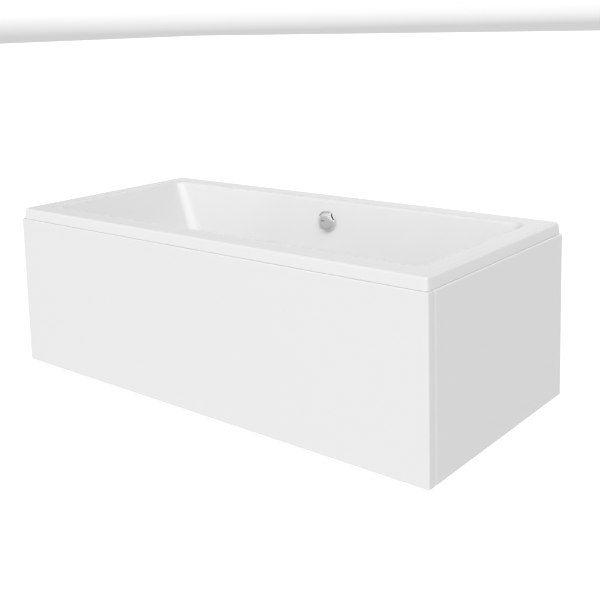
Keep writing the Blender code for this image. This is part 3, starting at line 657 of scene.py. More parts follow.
def show(node_name, bm, finish, place=None, body="root", sharp=SHARP):
    """The visible piece that stands for one CAD node, with the finish of that node's material slot."""
    piece = finish_mesh(node_name + "_look", bm, finish[slots[node_name]], place, sharp)
    return stands_for(piece, body, slots[node_name], node_name)


def stands_for(piece, body, slot, *nodes):
    """Ride the piece on a body, in place of CAD nodes."""
    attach(piece, body)
    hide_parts(*nodes)
    return piece


# Basin

def wall_offset(depth, slope, backing):
    """How far in from the flat deck a wall is at a depth; backing moves it to the outside of the shell."""
    top_radius = BASIN_EDGE_RADIUS - backing
    foot_radius = BASIN_FILLET + backing
    turn_end = BASIN_EDGE_RADIUS - top_radius * math.sin(slope)
    if depth < turn_end:
        rise = (BASIN_EDGE_RADIUS - depth) / top_radius
        return top_radius * math.sqrt(max(0.0, 1 - rise * rise))
    foot_centre = BASIN_DEPTH - BASIN_FILLET
    if depth < foot_centre + foot_radius * math.sin(slope):
        return top_radius * math.cos(slope) + (depth - turn_end) * math.tan(slope)
    straight = BASIN_DEPTH - BASIN_EDGE_RADIUS * (1 - math.sin(slope))
    toe = BASIN_EDGE_RADIUS * math.cos(slope) + straight * math.tan(slope)
    centre = toe + BASIN_FILLET * math.tan((math.pi / 2 - slope) / 2)
    fall = depth - foot_centre
    return centre - math.sqrt(max(0.0, foot_radius * foot_radius - fall * fall))


def basin_ring(depth, backing):
    along_x = wall_offset(depth, END_SLOPE, backing)
    along_y = wall_offset(depth, SIDE_SLOPE, backing)
    share = min(1.0, max(0.0, depth / BASIN_DEPTH))
    radius = BASIN_CORNER_TOP + (BASIN_CORNER_BOTTOM - BASIN_CORNER_TOP) * share
    return rounded_rectangle(DECK_X - along_x, DECK_Y - along_y, radius), HEIGHT - depth


def basin_rings(backing):
    """Rings of one side of the basin wall, from the deck down to the floor."""
    edge = BASIN_EDGE_RADIUS - backing
    foot = BASIN_FILLET + backing
    foot_centre = BASIN_DEPTH - BASIN_FILLET
    depths = [BASIN_EDGE_RADIUS - edge * math.cos(math.pi / 2 * step / 18) for step in range(18)]
    depths += [0.020, 0.05, 0.10, 0.15, 0.20, 0.25, 0.30, 0.34, foot_centre - 0.004]
    depths += [foot_centre + foot * math.sin(math.pi / 2 * (step / 22)) for step in range(1, 23)]
    return [basin_ring(depth, backing) for depth in depths]


def floor_rings(backing):
    """Rings across the floor, from the foot of the walls to the waste hole."""
    outline, height = basin_ring(BASIN_DEPTH + backing, backing)
    angles = [math.atan2(y, x) for x, y in outline]
    dish_edge = DISH_RADIUS + 0.012
    rings = []
    for share in (0.04, 0.15, 0.35, 0.6, 0.85, 1.0):
        ring = [(x + (dish_edge * math.cos(a) - x) * share, y + (dish_edge * math.sin(a) - y) * share)
                for (x, y), a in zip(outline, angles)]
        rings.append((ring, height))
    levels = [] if backing else [(DISH_RADIUS + 0.006, DISH_DEPTH / 2), (DISH_RADIUS, DISH_DEPTH)]
    levels += [(WASTE_HOLE, 0.0 if backing else DISH_DEPTH)]
    for radius, drop in levels:
        rings.append(([(radius * math.cos(a), radius * math.sin(a)) for a in angles], height - drop))
    return rings


def rim_ring(inset, radius, height):
    half_x = LENGTH / 2 - RIM_INSET - inset
    half_y = WIDTH / 2 - RIM_INSET - inset
    return rounded_rectangle(half_x, half_y, radius), height


def overflow_place():
    """Own Z points out of the back wall into the basin, own Y points up the wall."""
    wall_y = DECK_Y - wall_offset(OVERFLOW_DROP, SIDE_SLOPE, 0.0)
    lean = Matrix.Rotation(math.pi / 2 - SIDE_SLOPE, 4, "X")
    return Matrix.Translation((0, wall_y, HEIGHT - OVERFLOW_DROP)) @ lean


def tub_shell(finish):
    """Basin, deck and turned-down rim: rings up the inside, over the rim and down the outside."""
    rings = list(reversed(basin_rings(0.0) + floor_rings(0.0)))
    deck = basin_ring(0.0, 0.0)[0]
    edge = rim_ring(RIM_DRAFT + RIM_EDGE_RADIUS, RIM_CORNER_RADIUS - RIM_EDGE_RADIUS, HEIGHT)[0]
    for share in (0.03, 0.97):
        between_them = [(a + (c - a) * share, b + (d - b) * share) for (a, b), (c, d) in zip(deck, edge)]
        rings.append((between_them, HEIGHT))
    for step in range(EDGE_STEPS + 1):
        angle = math.pi / 2 * step / EDGE_STEPS
        inset = RIM_DRAFT + RIM_EDGE_RADIUS * (1 - math.sin(angle))
        height = HEIGHT - RIM_EDGE_RADIUS * (1 - math.cos(angle))
        rings.append(rim_ring(inset, RIM_CORNER_RADIUS - inset + RIM_DRAFT, height))
    lip = HEIGHT - RIM_FACE
    for step in range(7):
        angle = math.pi / 2 * step / 6
        inset = LIP_RADIUS * (1 - math.cos(angle))
        rings.append(rim_ring(inset, RIM_CORNER_RADIUS - inset, lip + LIP_RADIUS * (1 - math.sin(angle))))
    rings.append(rim_ring(SHELL, RIM_CORNER_RADIUS - SHELL, lip))
    rings.append(rim_ring(SHELL + RIM_DRAFT, RIM_CORNER_RADIUS - SHELL, HEIGHT - SHELL))
    rings += basin_rings(SHELL) + floor_rings(SHELL)
    shell = finish_mesh("basin", loft(rings), finish, sharp=40)
    cut(shell, disc(OVERFLOW_HOLE, -0.03, 0.03), overflow_place())
    even_shading(shell)
    stands_for(shell, "root", "white_acrylic", "tub_shell")


# Panels

def panel(name, ends, depth, place, finish):
    """A tray-shaped panel. Own X runs along its face and own Y points out of it.

    ends holds, for each end, where it is along X and the radius of its upright edge.
    """
    (start, start_radius), (stop, stop_radius) = ends
    bm = box((start, -depth, FLOOR_GAP), (stop, 0, PANEL_TOP))
    round_edges(bm, start_radius, lambda p: p.x < start + 1e-6 and p.y > -1e-6)
    round_edges(bm, stop_radius, lambda p: p.x > stop - 1e-6 and p.y > -1e-6)
    round_edges(bm, PANEL_TOP_RADIUS, lambda p: p.z > PANEL_TOP - 1e-6 and p.y > -depth + 1e-6)
    tray = finish_mesh(name + "_skin", bm, finish, place)
    hollow = box((start + PANEL_SKIN, -depth - 0.01, FLOOR_GAP - 0.01),
                 (stop - PANEL_SKIN, -PANEL_SKIN, PANEL_TOP - PANEL_SKIN))
    cut(tray, hollow, place)
    even_shading(tray)
    stands_for(tray, "root", "panel_acrylic", name)


def panels(finish):
    """The front tray wraps the front corners and the end trays the back ones; the back tray fits between."""
    front_joint = WIDTH / 2 - LONG_RETURN - PANEL_JOINT
    back_joint = LENGTH / 2 - END_RETURN - PANEL_JOINT
    front = Matrix.Translation((0, -WIDTH / 2, 0)) @ Matrix.Rotation(math.pi, 4, "Z")
    back = Matrix.Translation((0, WIDTH / 2, 0))
    left = Matrix.Translation((-LENGTH / 2, 0, 0)) @ Matrix.Rotation(math.pi / 2, 4, "Z")
    right = Matrix.Translation((LENGTH / 2, 0, 0)) @ Matrix.Rotation(-math.pi / 2, 4, "Z")
    corners = ((-LENGTH / 2, CORNER_RADIUS), (LENGTH / 2, CORNER_RADIUS))
    joints = ((-back_joint, JOINT_RADIUS), (back_joint, JOINT_RADIUS))
    left_ends = ((-front_joint, JOINT_RADIUS), (WIDTH / 2, CORNER_RADIUS))
    right_ends = ((-WIDTH / 2, CORNER_RADIUS), (front_joint, JOINT_RADIUS))
    panel("front_panel", corners, LONG_RETURN, front, finish)
    panel("back_panel", joints, LONG_RETURN, back, finish)
    panel("left_panel", left_ends, END_RETURN, left, finish)
    panel("right_panel", right_ends, END_RETURN, right, finish)


# Overflow knob

def knob(chrome, dark):
    """A pillow-faced chrome knob, hollow behind, with an undercut finger grip and a dark index bar."""
    place = overflow_place()
    inside = KNOB_RADIUS - KNOB_SKIN
    hub, hub_foot = KNOB_HUB
    rim, edge = KNOB_RADIUS - 0.0016, 0.0016
    shoulder = KNOB_FRONT - KNOB_PILLOW
    pillow = [(rim * share / 24, KNOB_FRONT - KNOB_PILLOW * (share / 24) ** 5) for share in range(24, 0, -1)]
    profile = [(0, KNOB_BASE)] + arc((KNOB_RADIUS - 0.0006, KNOB_BASE + 0.0006), 0.0006, -90, 0, 4)
    profile += arc((rim, shoulder - edge), edge, 0, 60, 8)
    profile += pillow + [(0, KNOB_FRONT)]
    cover = finish_mesh("overflow_knob", turned(profile), chrome, place)
    reach = KNOB_RADIUS - GRIP_DEPTH + GRIP_RADIUS
    towards_grip = Matrix.Translation((reach * math.cos(GRIP_ANGLE), reach * math.sin(GRIP_ANGLE), 0))
    ceiling = [(out, height - KNOB_SKIN) for out, height in pillow if hub < out < inside]
    hollow = turned([(0, -0.01), (inside, -0.01), (inside, shoulder - KNOB_SKIN)] + ceiling
                    + [(hub, KNOB_FRONT - KNOB_SKIN), (hub, hub_foot), (0, hub_foot)])
    hollow = finish_mesh("knob_hollow", hollow, chrome)
    cut(hollow, disc(GRIP_RADIUS + KNOB_SKIN, GRIP_FLOOR - KNOB_SKIN, GRIP_FLOOR, 160), towards_grip)
    inner = bmesh.new()
    inner.from_mesh(hollow.data)
    bpy.data.objects.remove(hollow, do_unlink=True)
    cut(cover, inner, place)
    cut(cover, disc(SPINDLE_RADIUS + CLEARANCE, -0.01, KNOB_FRONT - KNOB_SKIN - 0.002, 48), place)
    cut(cover, disc(GRIP_RADIUS, GRIP_FLOOR, 0.030, 160), place @ towards_grip)
    start, stop, half = INDEX_BAR
    cut(cover, box((start, -half, KNOB_FRONT - 0.0012), (stop, half, KNOB_FRONT + 0.01)), place)
    even_shading(cover)
    stands_for(cover, "knob", "chrome", "control_knob")
    bar = box((start + 0.0001, -half + 0.0001, KNOB_FRONT - 0.0011),
              (stop - 0.0001, half - 0.0001, KNOB_FRONT - 0.0004))
    bar = finish_mesh("index_bar", soften(bar, 0.0002), dark, place)
    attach(bar, "knob")


# Timber and boards

def timber_strip(name, grain):
    show(name, soften(box(*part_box(name)), TIMBER_EDGE), {"timber": grain})


def woodwork(finish, grains):
    """Battens, corner posts and base boards; grains has one timber per direction."""
    for side, direction in (("front", "X"), ("back", "X"), ("left", "Y"), ("right", "Y")):
        timber_strip(side + "_batten", grains[direction])
    for deep in ("front", "back"):
        for across in ("left", "right"):
            timber_strip(f"corner_post_{deep}_{across}", grains["Z"])
    for across in ("left", "right"):
        low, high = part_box("base_board_" + across)
        board = show("base_board_" + across, soften(box(low, high), BOARD_CHAMFER, 2), finish)
        for deep in ("front", "back"):
            screw = f"rail_screw_{deep}_{across}"
            hole = disc(SCREW_RADIUS + CLEARANCE, low.z - 0.005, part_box(screw)[1].z + 0.001, 24)
            cut(board, hole, under(screw))


# Rails, brackets, feet and screws

def leg_rail(name, finish):
    """A square tube with rounded edges, holed for its two studs and two screws."""
    low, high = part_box(name)
    half = (high.x - low.x) / 2
    run = (high.y - low.y) / 2
    outer = rounded_rectangle(half, half, 0.003, 6)
    inner = rounded_rectangle(half - RAIL_WALL, half - RAIL_WALL, 0.001, 6)
    place = along((0, 1, 0), (low + high) / 2)
    rail = show(name, loft([(outer, -run), (outer, run), (inner, run), (inner, -run)]), finish, place)
    across = name.removeprefix("leg_rail_")
    for deep in ("front", "back"):
        for fastener, gap in (("foot_stud", 0.0006), ("rail_screw", CLEARANCE)):
            radius = STUD_RADIUS if fastener == "foot_stud" else SCREW_RADIUS
            hole = disc(radius + gap, low.z - 0.01, high.z + 0.01, 48)
            cut(rail, hole, under(f"{fastener}_{deep}_{across}"))
    even_shading(rail)


def panel_bracket(name, finish):
    """A bent steel angle with a screw hole in its upright leg."""
    low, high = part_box(name)
    side = 1 if high.y > 0 else -1
    length, rise = high.y - low.y, high.z - low.z
    bend = BEND_RADIUS + BRACKET
    corner = (length - bend, bend)
    outline = [(0, 0)] + arc(corner, bend, -90, 0, 8) + [(length, rise), (length - BRACKET, rise)]
    outline += list(reversed(arc(corner, BEND_RADIUS, -90, 0, 8))) + [(0, BRACKET)]
    half = (high.x - low.x) / 2
    start = low.y if side > 0 else high.y
    turn = Matrix(((0, 0, 1), (side, 0, 0), (0, 1, 0))).to_4x4()
    place = Matrix.Translation(((low.x + high.x) / 2, start, low.z)) @ turn
    angle = show(name, soften(extruded(outline, -half, half), 0.0004, 2), finish, place)
    hole = disc(0.0025, -0.02, 0.02, 32)
    cut(angle, hole, along((0, 1, 0), ((low.x + high.x) / 2, start + side * length, low.z + 0.030)))
    even_shading(angle)


def foot(corner, finish):
    """A levelling foot: its threaded stud and pad, and the hexagon nut under the rail."""
    body = "foot_" + corner
    low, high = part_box("foot_stud_" + corner)
    place = under("foot_stud_" + corner)
    stud = threaded(STUD_RADIUS, low.z, high.z, STUD_PITCH, 0.0008)
    show("foot_stud_" + corner, stud, finish, place, body, 60)

    socket = STUD_RADIUS + CLEARANCE
    low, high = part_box("foot_pad_" + corner)
    rim = (high.x - low.x) / 2
    profile = [(0, 0.0008), (rim - 0.004, 0.0008), (rim - 0.003, 0)]
    profile += arc((rim - 0.001, 0.001), 0.001, -90, 0, 4)
    profile += arc((rim - 0.002, PAD_BASE - 0.002), 0.002, 0, 90, 6) + [(0.016, PAD_BASE + 0.001)]
    profile += arc((0.0185, 0.0130), 0.0055, 250, 180, 6) + [(0.0125, PAD_TOP - 0.001), (0.0115, PAD_TOP)]
    profile += [(socket, PAD_TOP), (socket, PAD_BASE), (0, PAD_BASE)]
    show("foot_pad_" + corner, turned(profile, 64), finish, place, body)

    low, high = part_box("foot_nut_" + corner)
    reach = NUT_FLATS / math.sqrt(3)
    corners = [(reach * math.cos(math.pi * i / 3), reach * math.sin(math.pi * i / 3)) for i in range(6)]
    nut = show("foot_nut_" + corner, extruded(corners, low.z, high.z), finish, place)
    slope = 0.0016
    lens = turned([(0, low.z), (NUT_FLATS / 2, low.z), (reach, low.z + slope), (reach, high.z - slope),
                   (NUT_FLATS / 2, high.z), (0, high.z)])
    cut(nut, lens, place, "INTERSECT")
    chamfer = 0.0012
    bore = turned([(0, low.z - 0.001), (socket + chamfer, low.z - 0.001), (socket + chamfer, low.z),
                   (socket, low.z + chamfer), (socket, high.z - chamfer), (socket + chamfer, high.z),
                   (socket + chamfer, high.z + 0.001), (0, high.z + 0.001)])
    cut(nut, bore, place)


def rail_screw(name, finish):
    """A pan-headed screw with a cross recess."""
    low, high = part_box(name)
    place = under(name)
    radius, height = SCREW_HEAD
    seat = low.z + height
    dome = arc((0, low.z + 0.010), 0.010, -90, -68, 5)
    profile = dome + arc((radius - 0.0012, low.z + 0.0020), 0.0012, -40, 20, 4)
    profile += [(radius, seat - 0.0005), (radius - 0.0005, seat), (SCREW_RADIUS - 0.0004, seat)]
    profile += [(SCREW_RADIUS - 0.0004, seat + 0.002), (0, seat + 0.002)]
    screw = show(name, turned(profile, 48), finish, place)
    thread = threaded(SCREW_RADIUS, seat + 0.0005, high.z - 0.001, SCREW_PITCH, 0.0005, 20)
    join(screw, thread, place)
    tip = turned([(0, high.z - 0.004), (0.0018, high.z - 0.004), (0.0018, high.z - 0.002), (0, high.z)], 20)
    join(screw, tip, place)
    for x, y in ((0.0026, 0.0005), (0.0005, 0.0026)):
        cut(screw, box((-x, -y, low.z - 0.001), (x, y, low.z + 0.0016)), place)


# Waste and trap

def waste(finish):
    """The clamped waste: flange, gaskets and body, with the pin that the lever turns on."""
    for name, edge in (("waste_top_seal", 0.0004), ("waste_washer", 0.0008)):
        low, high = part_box(name)
        show(name, rounded_ring(GASKET_BORE, high.x, low.z, high.z, edge), finish)

    low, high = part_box("waste_flange")
    rim, seat = high.x, high.z - 0.0026
    profile = [(THROAT_RADIUS, low.z), (0.0250, low.z), (0.0250, seat), (rim - 0.0004, seat)]
    profile += arc((rim - 0.0006, seat + 0.0006), 0.0006, -60, 60, 6)
    profile += arc((rim - 0.0030, seat + 0.0006), 0.0020, 60, 90, 5) + [(0.0250, seat + 0.0022)]
    profile += arc((0.0250, seat - 0.0023), 0.0045, 90, 180, 10)
    flange = show("waste_flange", turned(profile), finish)
    guide_low, guide_high = FLOOR_UNDER - 0.016, FLOOR_UNDER - 0.010
    reach = THROAT_RADIUS + 0.001
    for x, y in ((reach, GUIDE), (GUIDE, reach)):
        join(flange, soften(box((-x, -y, guide_low), (x, y, guide_high)), 0.0005))
    join(flange, rounded_disc(HUB_RADIUS, guide_low, guide_high, 0.0008))
    cut(flange, disc(PLUG_STEM_RADIUS + CLEARANCE, guide_low - 0.01, guide_high + 0.01, 48))
    even_shading(flange)

    low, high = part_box("waste_body")
    top = high.z
    profile = [(0.0253, top), (0.0253, 0.082)] + arc((0.0210, 0.0800), 0.0030, 90, 180, 6)
    profile += [(0.0180, BODY_LOW + 0.0006), (0.0186, BODY_LOW), (0.0207, BODY_LOW)]
    profile += [(0.0213, BODY_LOW + 0.0006), (0.0213, 0.075), (0.0225, 0.0762), (0.0290, 0.0785)]
    profile += arc((0.0290, 0.0805), 0.0020, -60, 0, 6)
    profile += [(0.031, top - 0.0070)] + arc((0.0330, top - 0.0070), 0.0020, 180, 90, 6)
    profile += arc((0.0372, top - 0.0042), 0.0008, -90, 0, 4) + [(0.038, top - 0.0008), (0.0372, top)]
    body = show("waste_body", turned(profile), finish)
    pivot = along((1, 0, 0), LEVER_PIVOT)
    inlet = along((0, 1, 0), (0, 0, INLET_Z))
    gland = along(CABLE_ENTRY, (0, 0, LEVER_PIVOT[2]))
    join(body, rounded_disc(SPOUT_RADIUS, 0.0258, SPOUT_END, 0.0008), inlet)
    join(body, rounded_disc(GLAND_RADIUS, 0.028, GLAND_ENDS[0], 0.0006, 48), gland)
    cut(body, disc(LEVER_PIN_RADIUS + CLEARANCE, -0.04, 0.04, 32), pivot)
    cut(body, disc(HOSE_BORE, 0.0, 0.070, 64), inlet)
    even_shading(body)
    show("lever_pin", rounded_disc(LEVER_PIN_RADIUS, -0.0255, 0.0255, 0.0005, 32), finish, pivot)


def plug(finish):
    """The plug's domed cap, its seal and its stem, and the lever that lifts them."""
    low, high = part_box("plug_cap")
    rim, base, top = high.x, low.z, high.z
    dome = [(rim * share, top - 0.0016 * share * share) for share in (0.88, 0.7, 0.5, 0.3, 0.15, 0)]
    profile = [(0, base), (rim - 0.0015, base)] + arc((rim - 0.0012, base + 0.0012), 0.0012, -80, 0, 6)
    profile += arc((rim - 0.0030, base + 0.0024), 0.0030, 0, 62, 8) + dome
    show("plug_cap", turned(profile), finish, None, "plug")
    low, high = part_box("plug_seal")
    lip = [(0.0085, low.z + 0.0006), (0.0091, low.z), (high.x - 0.0030, low.z)]
    lip += [(high.x - 0.0012, low.z + 0.0010), (high.x, low.z + 0.0022), (high.x - 0.0004, low.z + 0.0026)]
    lip += [(high.x - 0.0022, low.z + 0.0030), (high.x - 0.0022, high.z), (0.0085, high.z)]
    show("plug_seal", turned(lip, 64), finish, None, "plug")
    low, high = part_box("plug_stem")
    collar = high.z - 0.005
    stem = [(0, low.z)] + arc((PLUG_STEM_RADIUS - 0.001, low.z + 0.001), 0.001, -90, 0, 4)
    stem += [(PLUG_STEM_RADIUS, collar - 0.001), (high.x - 0.0006, collar), (high.x, collar + 0.0006)]
    stem += [(high.x, high.z - 0.0004), (high.x - 0.0004, high.z), (0, high.z)]
    show("plug_stem", turned(stem, 48), finish, None, "plug")
    place = Matrix.Translation(LEVER_PIVOT)
    bar = soften(box((-0.004, -LEVER_PIVOT[1] - 0.004, -0.0025), (0.004, 0.002, 0.0025)), 0.0008)
    lever = show("plug_lever", bar, finish, place, "lever")
    eye = along((1, 0, 0), LEVER_PIVOT)
    join(lever, rounded_disc(0.004, -0.004, 0.004, 0.0005, 48), eye)
    cut(lever, disc(LEVER_PIN_RADIUS + CLEARANCE, -0.01, 0.01, 32), eye)


def trap(finish):
    low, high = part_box("trap_inlet_nut")
    nut = show("trap_inlet_nut", ribbed_ring(0.0218, high.x, low.z, high.z), finish)
    join(nut, rounded_ring(0.0212, 0.0222, low.z, low.z + 0.0040, 0.0003))
    centre = TRAP_LOW + TRAP_BEND
    outlet = centre + TRAP_LIFT
    path = [Vector((0, 0, BODY_LOW - 0.0007)), Vector((0, 0, centre))]
    for angle in (math.pi * step / 48 for step in range(1, 48)):
        x, z = TRAP_BEND - TRAP_BEND * math.cos(angle), centre - TRAP_BEND * math.sin(angle)
        path.append(Vector((x, 0, z)))
    for angle in (math.pi / 2 * step / 24 for step in range(25)):
        x, z = 2 * TRAP_BEND + TRAP_LIFT - TRAP_LIFT * math.cos(angle), centre + TRAP_LIFT * math.sin(angle)
        path.append(Vector((x, 0, z)))
    path += [Vector((x, 0, outlet)) for x in (0.074, 0.080, 0.0806, 0.086, 0.0866, 0.100, 0.120, TRAP_END)]
    bead = {Vector((x, 0, outlet)).freeze() for x in (0.0806, 0.086)}
    radii = [PIPE_RADIUS if point.copy().freeze() in bead else PIPE_RADIUS - 0.0006 for point in path]
    show("trap_bend", swept(path, radii, PIPE_BORE, 64), finish)
    low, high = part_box("trap_outlet_nut")
    place = along((1, 0, 0), (low.x, 0, outlet))
    show("trap_outlet_nut", ribbed_ring(PIPE_RADIUS + CLEARANCE, high.y, 0.0, high.x - low.x), finish, place)


# Overflow fitting, hose and cable

def overflow(finish):
    place = overflow_place()
    base = -SHELL
    seal = rounded_ring(0.0262, ELBOW_RADIUS, base - CLEARANCE - 0.003, base - CLEARANCE, 0.0008)
    show("overflow_seal", seal, finish, place)

    front = base - 0.003 - 2 * CLEARANCE
    elbow = show("overflow_elbow", rounded_disc(ELBOW_RADIUS, ELBOW_REAR, front, 0.002), finish, place)
    spout = place @ along((0, -1, 0), (0, 0, -HOSE_BEHIND))
    gland = place @ along((0, -1, 0), (GLAND_X, 0, -HOSE_BEHIND))
    join(elbow, rounded_disc(SPOUT_RADIUS, 0.020, SPOUT_END, 0.0008), spout)
    join(elbow, rounded_disc(GLAND_RADIUS, 0.010, GLAND_ENDS[1], 0.0006, 48), gland)
    cut(elbow, disc(0.0258, ELBOW_REAR + ELBOW_WALL, 0.0), place)
    cut(elbow, disc(HOSE_BORE, 0.0, 0.070, 64), spout)
    even_shading(elbow)

    profile = [(0.0225, -0.022), (0.0255, -0.022), (0.0255, CLEARANCE), (0.0316, CLEARANCE)]
    profile += arc((0.0300, 0.0020), 0.0020, -30, 90, 8) + arc((0.0240, 0.0025), 0.0015, 90, 180, 6)
    flange = show("overflow_flange", turned(profile), finish, place)
    for number in range(3):
        arm = soften(box((0, -GUIDE, -0.006), (0.0235, GUIDE, 0.002)), 0.0005)
        join(flange, arm, place @ Matrix.Rotation(math.radians(90 + 120 * number), 4, "Z"))
    join(flange, rounded_disc(HUB_RADIUS, -0.008, 0.003, 0.0008), place)
    cut(flange, disc(SPINDLE_RADIUS + CLEARANCE, -0.02, 0.02, 48), place)
    even_shading(flange)

    ceiling = KNOB_FRONT - KNOB_SKIN
    spindle = rounded_disc(SPINDLE_RADIUS, ELBOW_REAR + 0.004, ceiling - 0.003, 0.0006, 48)
    show("knob_spindle", spindle, finish, place, "knob")
    socket = SPINDLE_RADIUS + CLEARANCE
    profile = [(socket, -0.034), (0.0125, -0.034), (0.013, -0.0335), (0.013, -0.0325)]
    profile += arc((0.0135, -0.0295), 0.0028, 240, 120, 10) + [(0.013, -0.0265), (0.013, -0.0255)]
    profile += [(0.0125, -0.025), (socket, -0.025)]
    show("cable_drum", turned(profile), finish, place, "knob")


def down_the_wall(start_point, steps=32):
    """Points down the back of the side wall and round under the basin, keeping their distance from it."""
    foot_y = DECK_Y - wall_offset(BASIN_DEPTH, SIDE_SLOPE, 0.0)
    foot_z = HEIGHT - BASIN_DEPTH + BASIN_FILLET
    reach = BASIN_FILLET + HOSE_BEHIND
    points = [start_point]
    for step in range(steps + 1):
        angle = -SIDE_SLOPE - (math.pi / 2 - SIDE_SLOPE) * step / steps
        y, z = foot_y + reach * math.cos(angle), foot_z + reach * math.sin(angle)
        points.append(Vector((start_point.x, y, z)))
    return points


def hose_and_cable(finish):
    place = overflow_place()
    down = place.to_3x3() @ Vector((0, -1, 0))
    spout_end = place @ Vector((0, -SPOUT_END - CLEARANCE, -HOSE_BEHIND))
    inlet_end = Vector((0, SPOUT_END + CLEARANCE, INLET_Z))
    path = evenly(down_the_wall(spout_end) + [inlet_end], HOSE_RIB / 5)
    cuff = round(0.012 / (HOSE_RIB / 5))
    radii = []
    for i in range(len(path)):
        plain = i < cuff or i > len(path) - 1 - cuff
        wave = 0.5 - 0.5 * math.cos(2 * math.pi * (i - cuff) / 5)
        radii.append(HOSE_RADIUS - (0 if plain else 0.0018 * wave))
    show("overflow_hose", swept(path, radii, HOSE_BORE, 40), finish, sharp=70)
    nut_places = {"hose_nut_top": along(down, spout_end), "hose_nut_bottom": along((0, 1, 0), inlet_end)}
    for name, spot in nut_places.items():
        show(name, ribbed_ring(*HOSE_NUT), finish, spot)

    cable_start = place @ Vector((GLAND_X, -GLAND_ENDS[1] - CLEARANCE, -HOSE_BEHIND))
    entry = Vector(CABLE_ENTRY)
    cable_end = Vector((0, 0, LEVER_PIVOT[2])) + (GLAND_ENDS[0] + CLEARANCE) * entry
    wall_run = down_the_wall(cable_start)
    last_run = smooth_route([wall_run[-1], (0.036, 0.130, 0.104), (0.046, 0.078, 0.094),
                             cable_end + 0.018 * entry, cable_end], 0.003)
    path = evenly(wall_run[:-1] + last_run, 0.003)
    show("bowden_cable", swept(path, [CABLE_RADIUS] * len(path), 0.0, 24), finish, sharp=70)


# Camera, floor and light

def camera():
    back = Vector((math.sin(CAMERA_AZIMUTH) * math.cos(CAMERA_ELEVATION),
                   -math.cos(CAMERA_AZIMUTH) * math.cos(CAMERA_ELEVATION), math.sin(CAMERA_ELEVATION)))
    right = Vector((0, 0, 1)).cross(back).normalized()
    up = back.cross(right)
    turn = Matrix((right, up, back)).transposed().to_4x4()
    data = bpy.data.cameras.new("camera")
    data.lens = CAMERA_LENS
    data.sensor_width = SENSOR_WIDTH
    data.shift_y = CAMERA_SHIFT
    made = bpy.data.objects.new("camera", data)
    made.matrix_world = Matrix.Translation(CAMERA_PLACE) @ turn @ Matrix.Rotation(CAMERA_ROLL, 4, "Z")
    scene_objects.link(made)
    bpy.context.scene.camera = made


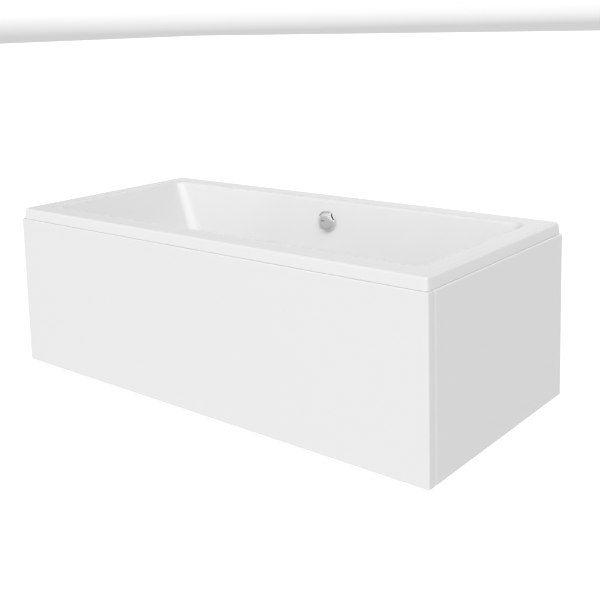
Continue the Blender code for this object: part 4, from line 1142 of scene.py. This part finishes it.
def studio():
    """A white floor that only the camera sees, a sky with a bright far horizon, and a broad soft lamp."""
    floor_bm = bmesh.new()
    bmesh.ops.create_grid(floor_bm, x_segments=1, y_segments=1, size=FLOOR_HALF)
    white, tree, shader = new_material("studio_floor")
    connect(tree, shader, {"Base Color": (0.25, 0.25, 0.25, 1), "Roughness": 0.9, "Specular IOR Level": 0.0,
                           "Emission Color": (1, 1, 1, 1), "Emission Strength": 1.0})
    floor = finish_mesh("floor", floor_bm, white)
    floor.visible_diffuse = False
    floor.visible_glossy = False
    floor.visible_shadow = False

    world = bpy.data.worlds.new("studio")
    world.use_nodes = True
    tree = world.node_tree
    direction = node(tree, "ShaderNodeTexCoord")
    split = node(tree, "ShaderNodeSeparateXYZ")
    tree.links.new(direction.outputs["Generated"], split.inputs["Vector"])
    ends = arithmetic(tree, "MULTIPLY", arithmetic(tree, "ABSOLUTE", split.outputs["X"]), END_BANKS)
    banks = arithmetic(tree, "MULTIPLY", arithmetic(tree, "ABSOLUTE", split.outputs["Y"]), LONG_BANKS)
    above = between(tree, split.outputs["Z"], 0.0, 1.0, -0.01, 0.01)
    sky = blend(tree, above, FLOOR_GREY, arithmetic(tree, "ADD", ends, banks))
    heights = (math.sin(HORIZON_BAND), math.sin(HORIZON_BAND + HORIZON_FADE))
    low = between(tree, split.outputs["Z"], 1.0, 0.0, *heights)
    away = arithmetic(tree, "SUBTRACT", split.outputs["Y"], split.outputs["X"])
    behind = between(tree, away, 0.0, 1.0, 0.1, 0.5)
    band = arithmetic(tree, "MULTIPLY", arithmetic(tree, "MULTIPLY", low, above), behind)
    connect(tree, tree.nodes["Background"], {"Color": (1, 1, 1, 1), "Strength": blend(tree, band, sky, 1.0)})
    bpy.context.scene.world = world
    bpy.context.scene.view_settings.view_transform = "Standard"

    data = bpy.data.lights.new("key", "SUN")
    data.energy = KEY_POWER
    data.angle = KEY_SPREAD
    lamp = bpy.data.objects.new("key", data)
    lamp.matrix_world = along(KEY_FROM)
    scene_objects.link(lamp)


def main():
    camera()
    studio()
    finishes = {
        "white_acrylic": acrylic("white_acrylic_gloss", 0.12, ACRYLIC_WHITE),
        "panel_acrylic": acrylic("panel_acrylic_gloss", 0.16, ACRYLIC_WHITE),
        "chrome": metal("polished_chrome", (0.86, 0.86, 0.86), 0.07, 0.3, 250.0, depth=0.000005),
        "zinc_steel": plated_steel("zinc_plate"),
        "brass": metal("machined_brass", (0.62, 0.50, 0.28), 0.28, 0.3, 900.0),
        "board": chipboard("particle_board"),
        "white_plastic": moulded("white_pipe_plastic", (0.72, 0.72, 0.70), 0.42),
        "grey_plastic": moulded("grey_nut_plastic", (0.30, 0.31, 0.32), 0.50),
        "black_plastic": moulded("black_foot_plastic", (0.03, 0.03, 0.03), 0.55),
        "rubber": moulded("black_seal_rubber", (0.02, 0.02, 0.02), 0.80, 1200.0),
    }
    grains = {direction: timber("softwood_" + direction, direction) for direction in "XYZ"}

    tub_shell(finishes["white_acrylic"])
    panels(finishes["panel_acrylic"])
    knob(finishes["chrome"], finishes["black_plastic"])
    woodwork(finishes, grains)
    for across in ("left", "right"):
        leg_rail("leg_rail_" + across, finishes)
        for deep in ("front", "back"):
            corner = f"{deep}_{across}"
            panel_bracket("panel_bracket_" + corner, finishes)
            foot(corner, finishes)
            rail_screw("rail_screw_" + corner, finishes)
    waste(finishes)
    plug(finishes)
    trap(finishes)
    overflow(finishes)
    hose_and_cable(finishes)


main()
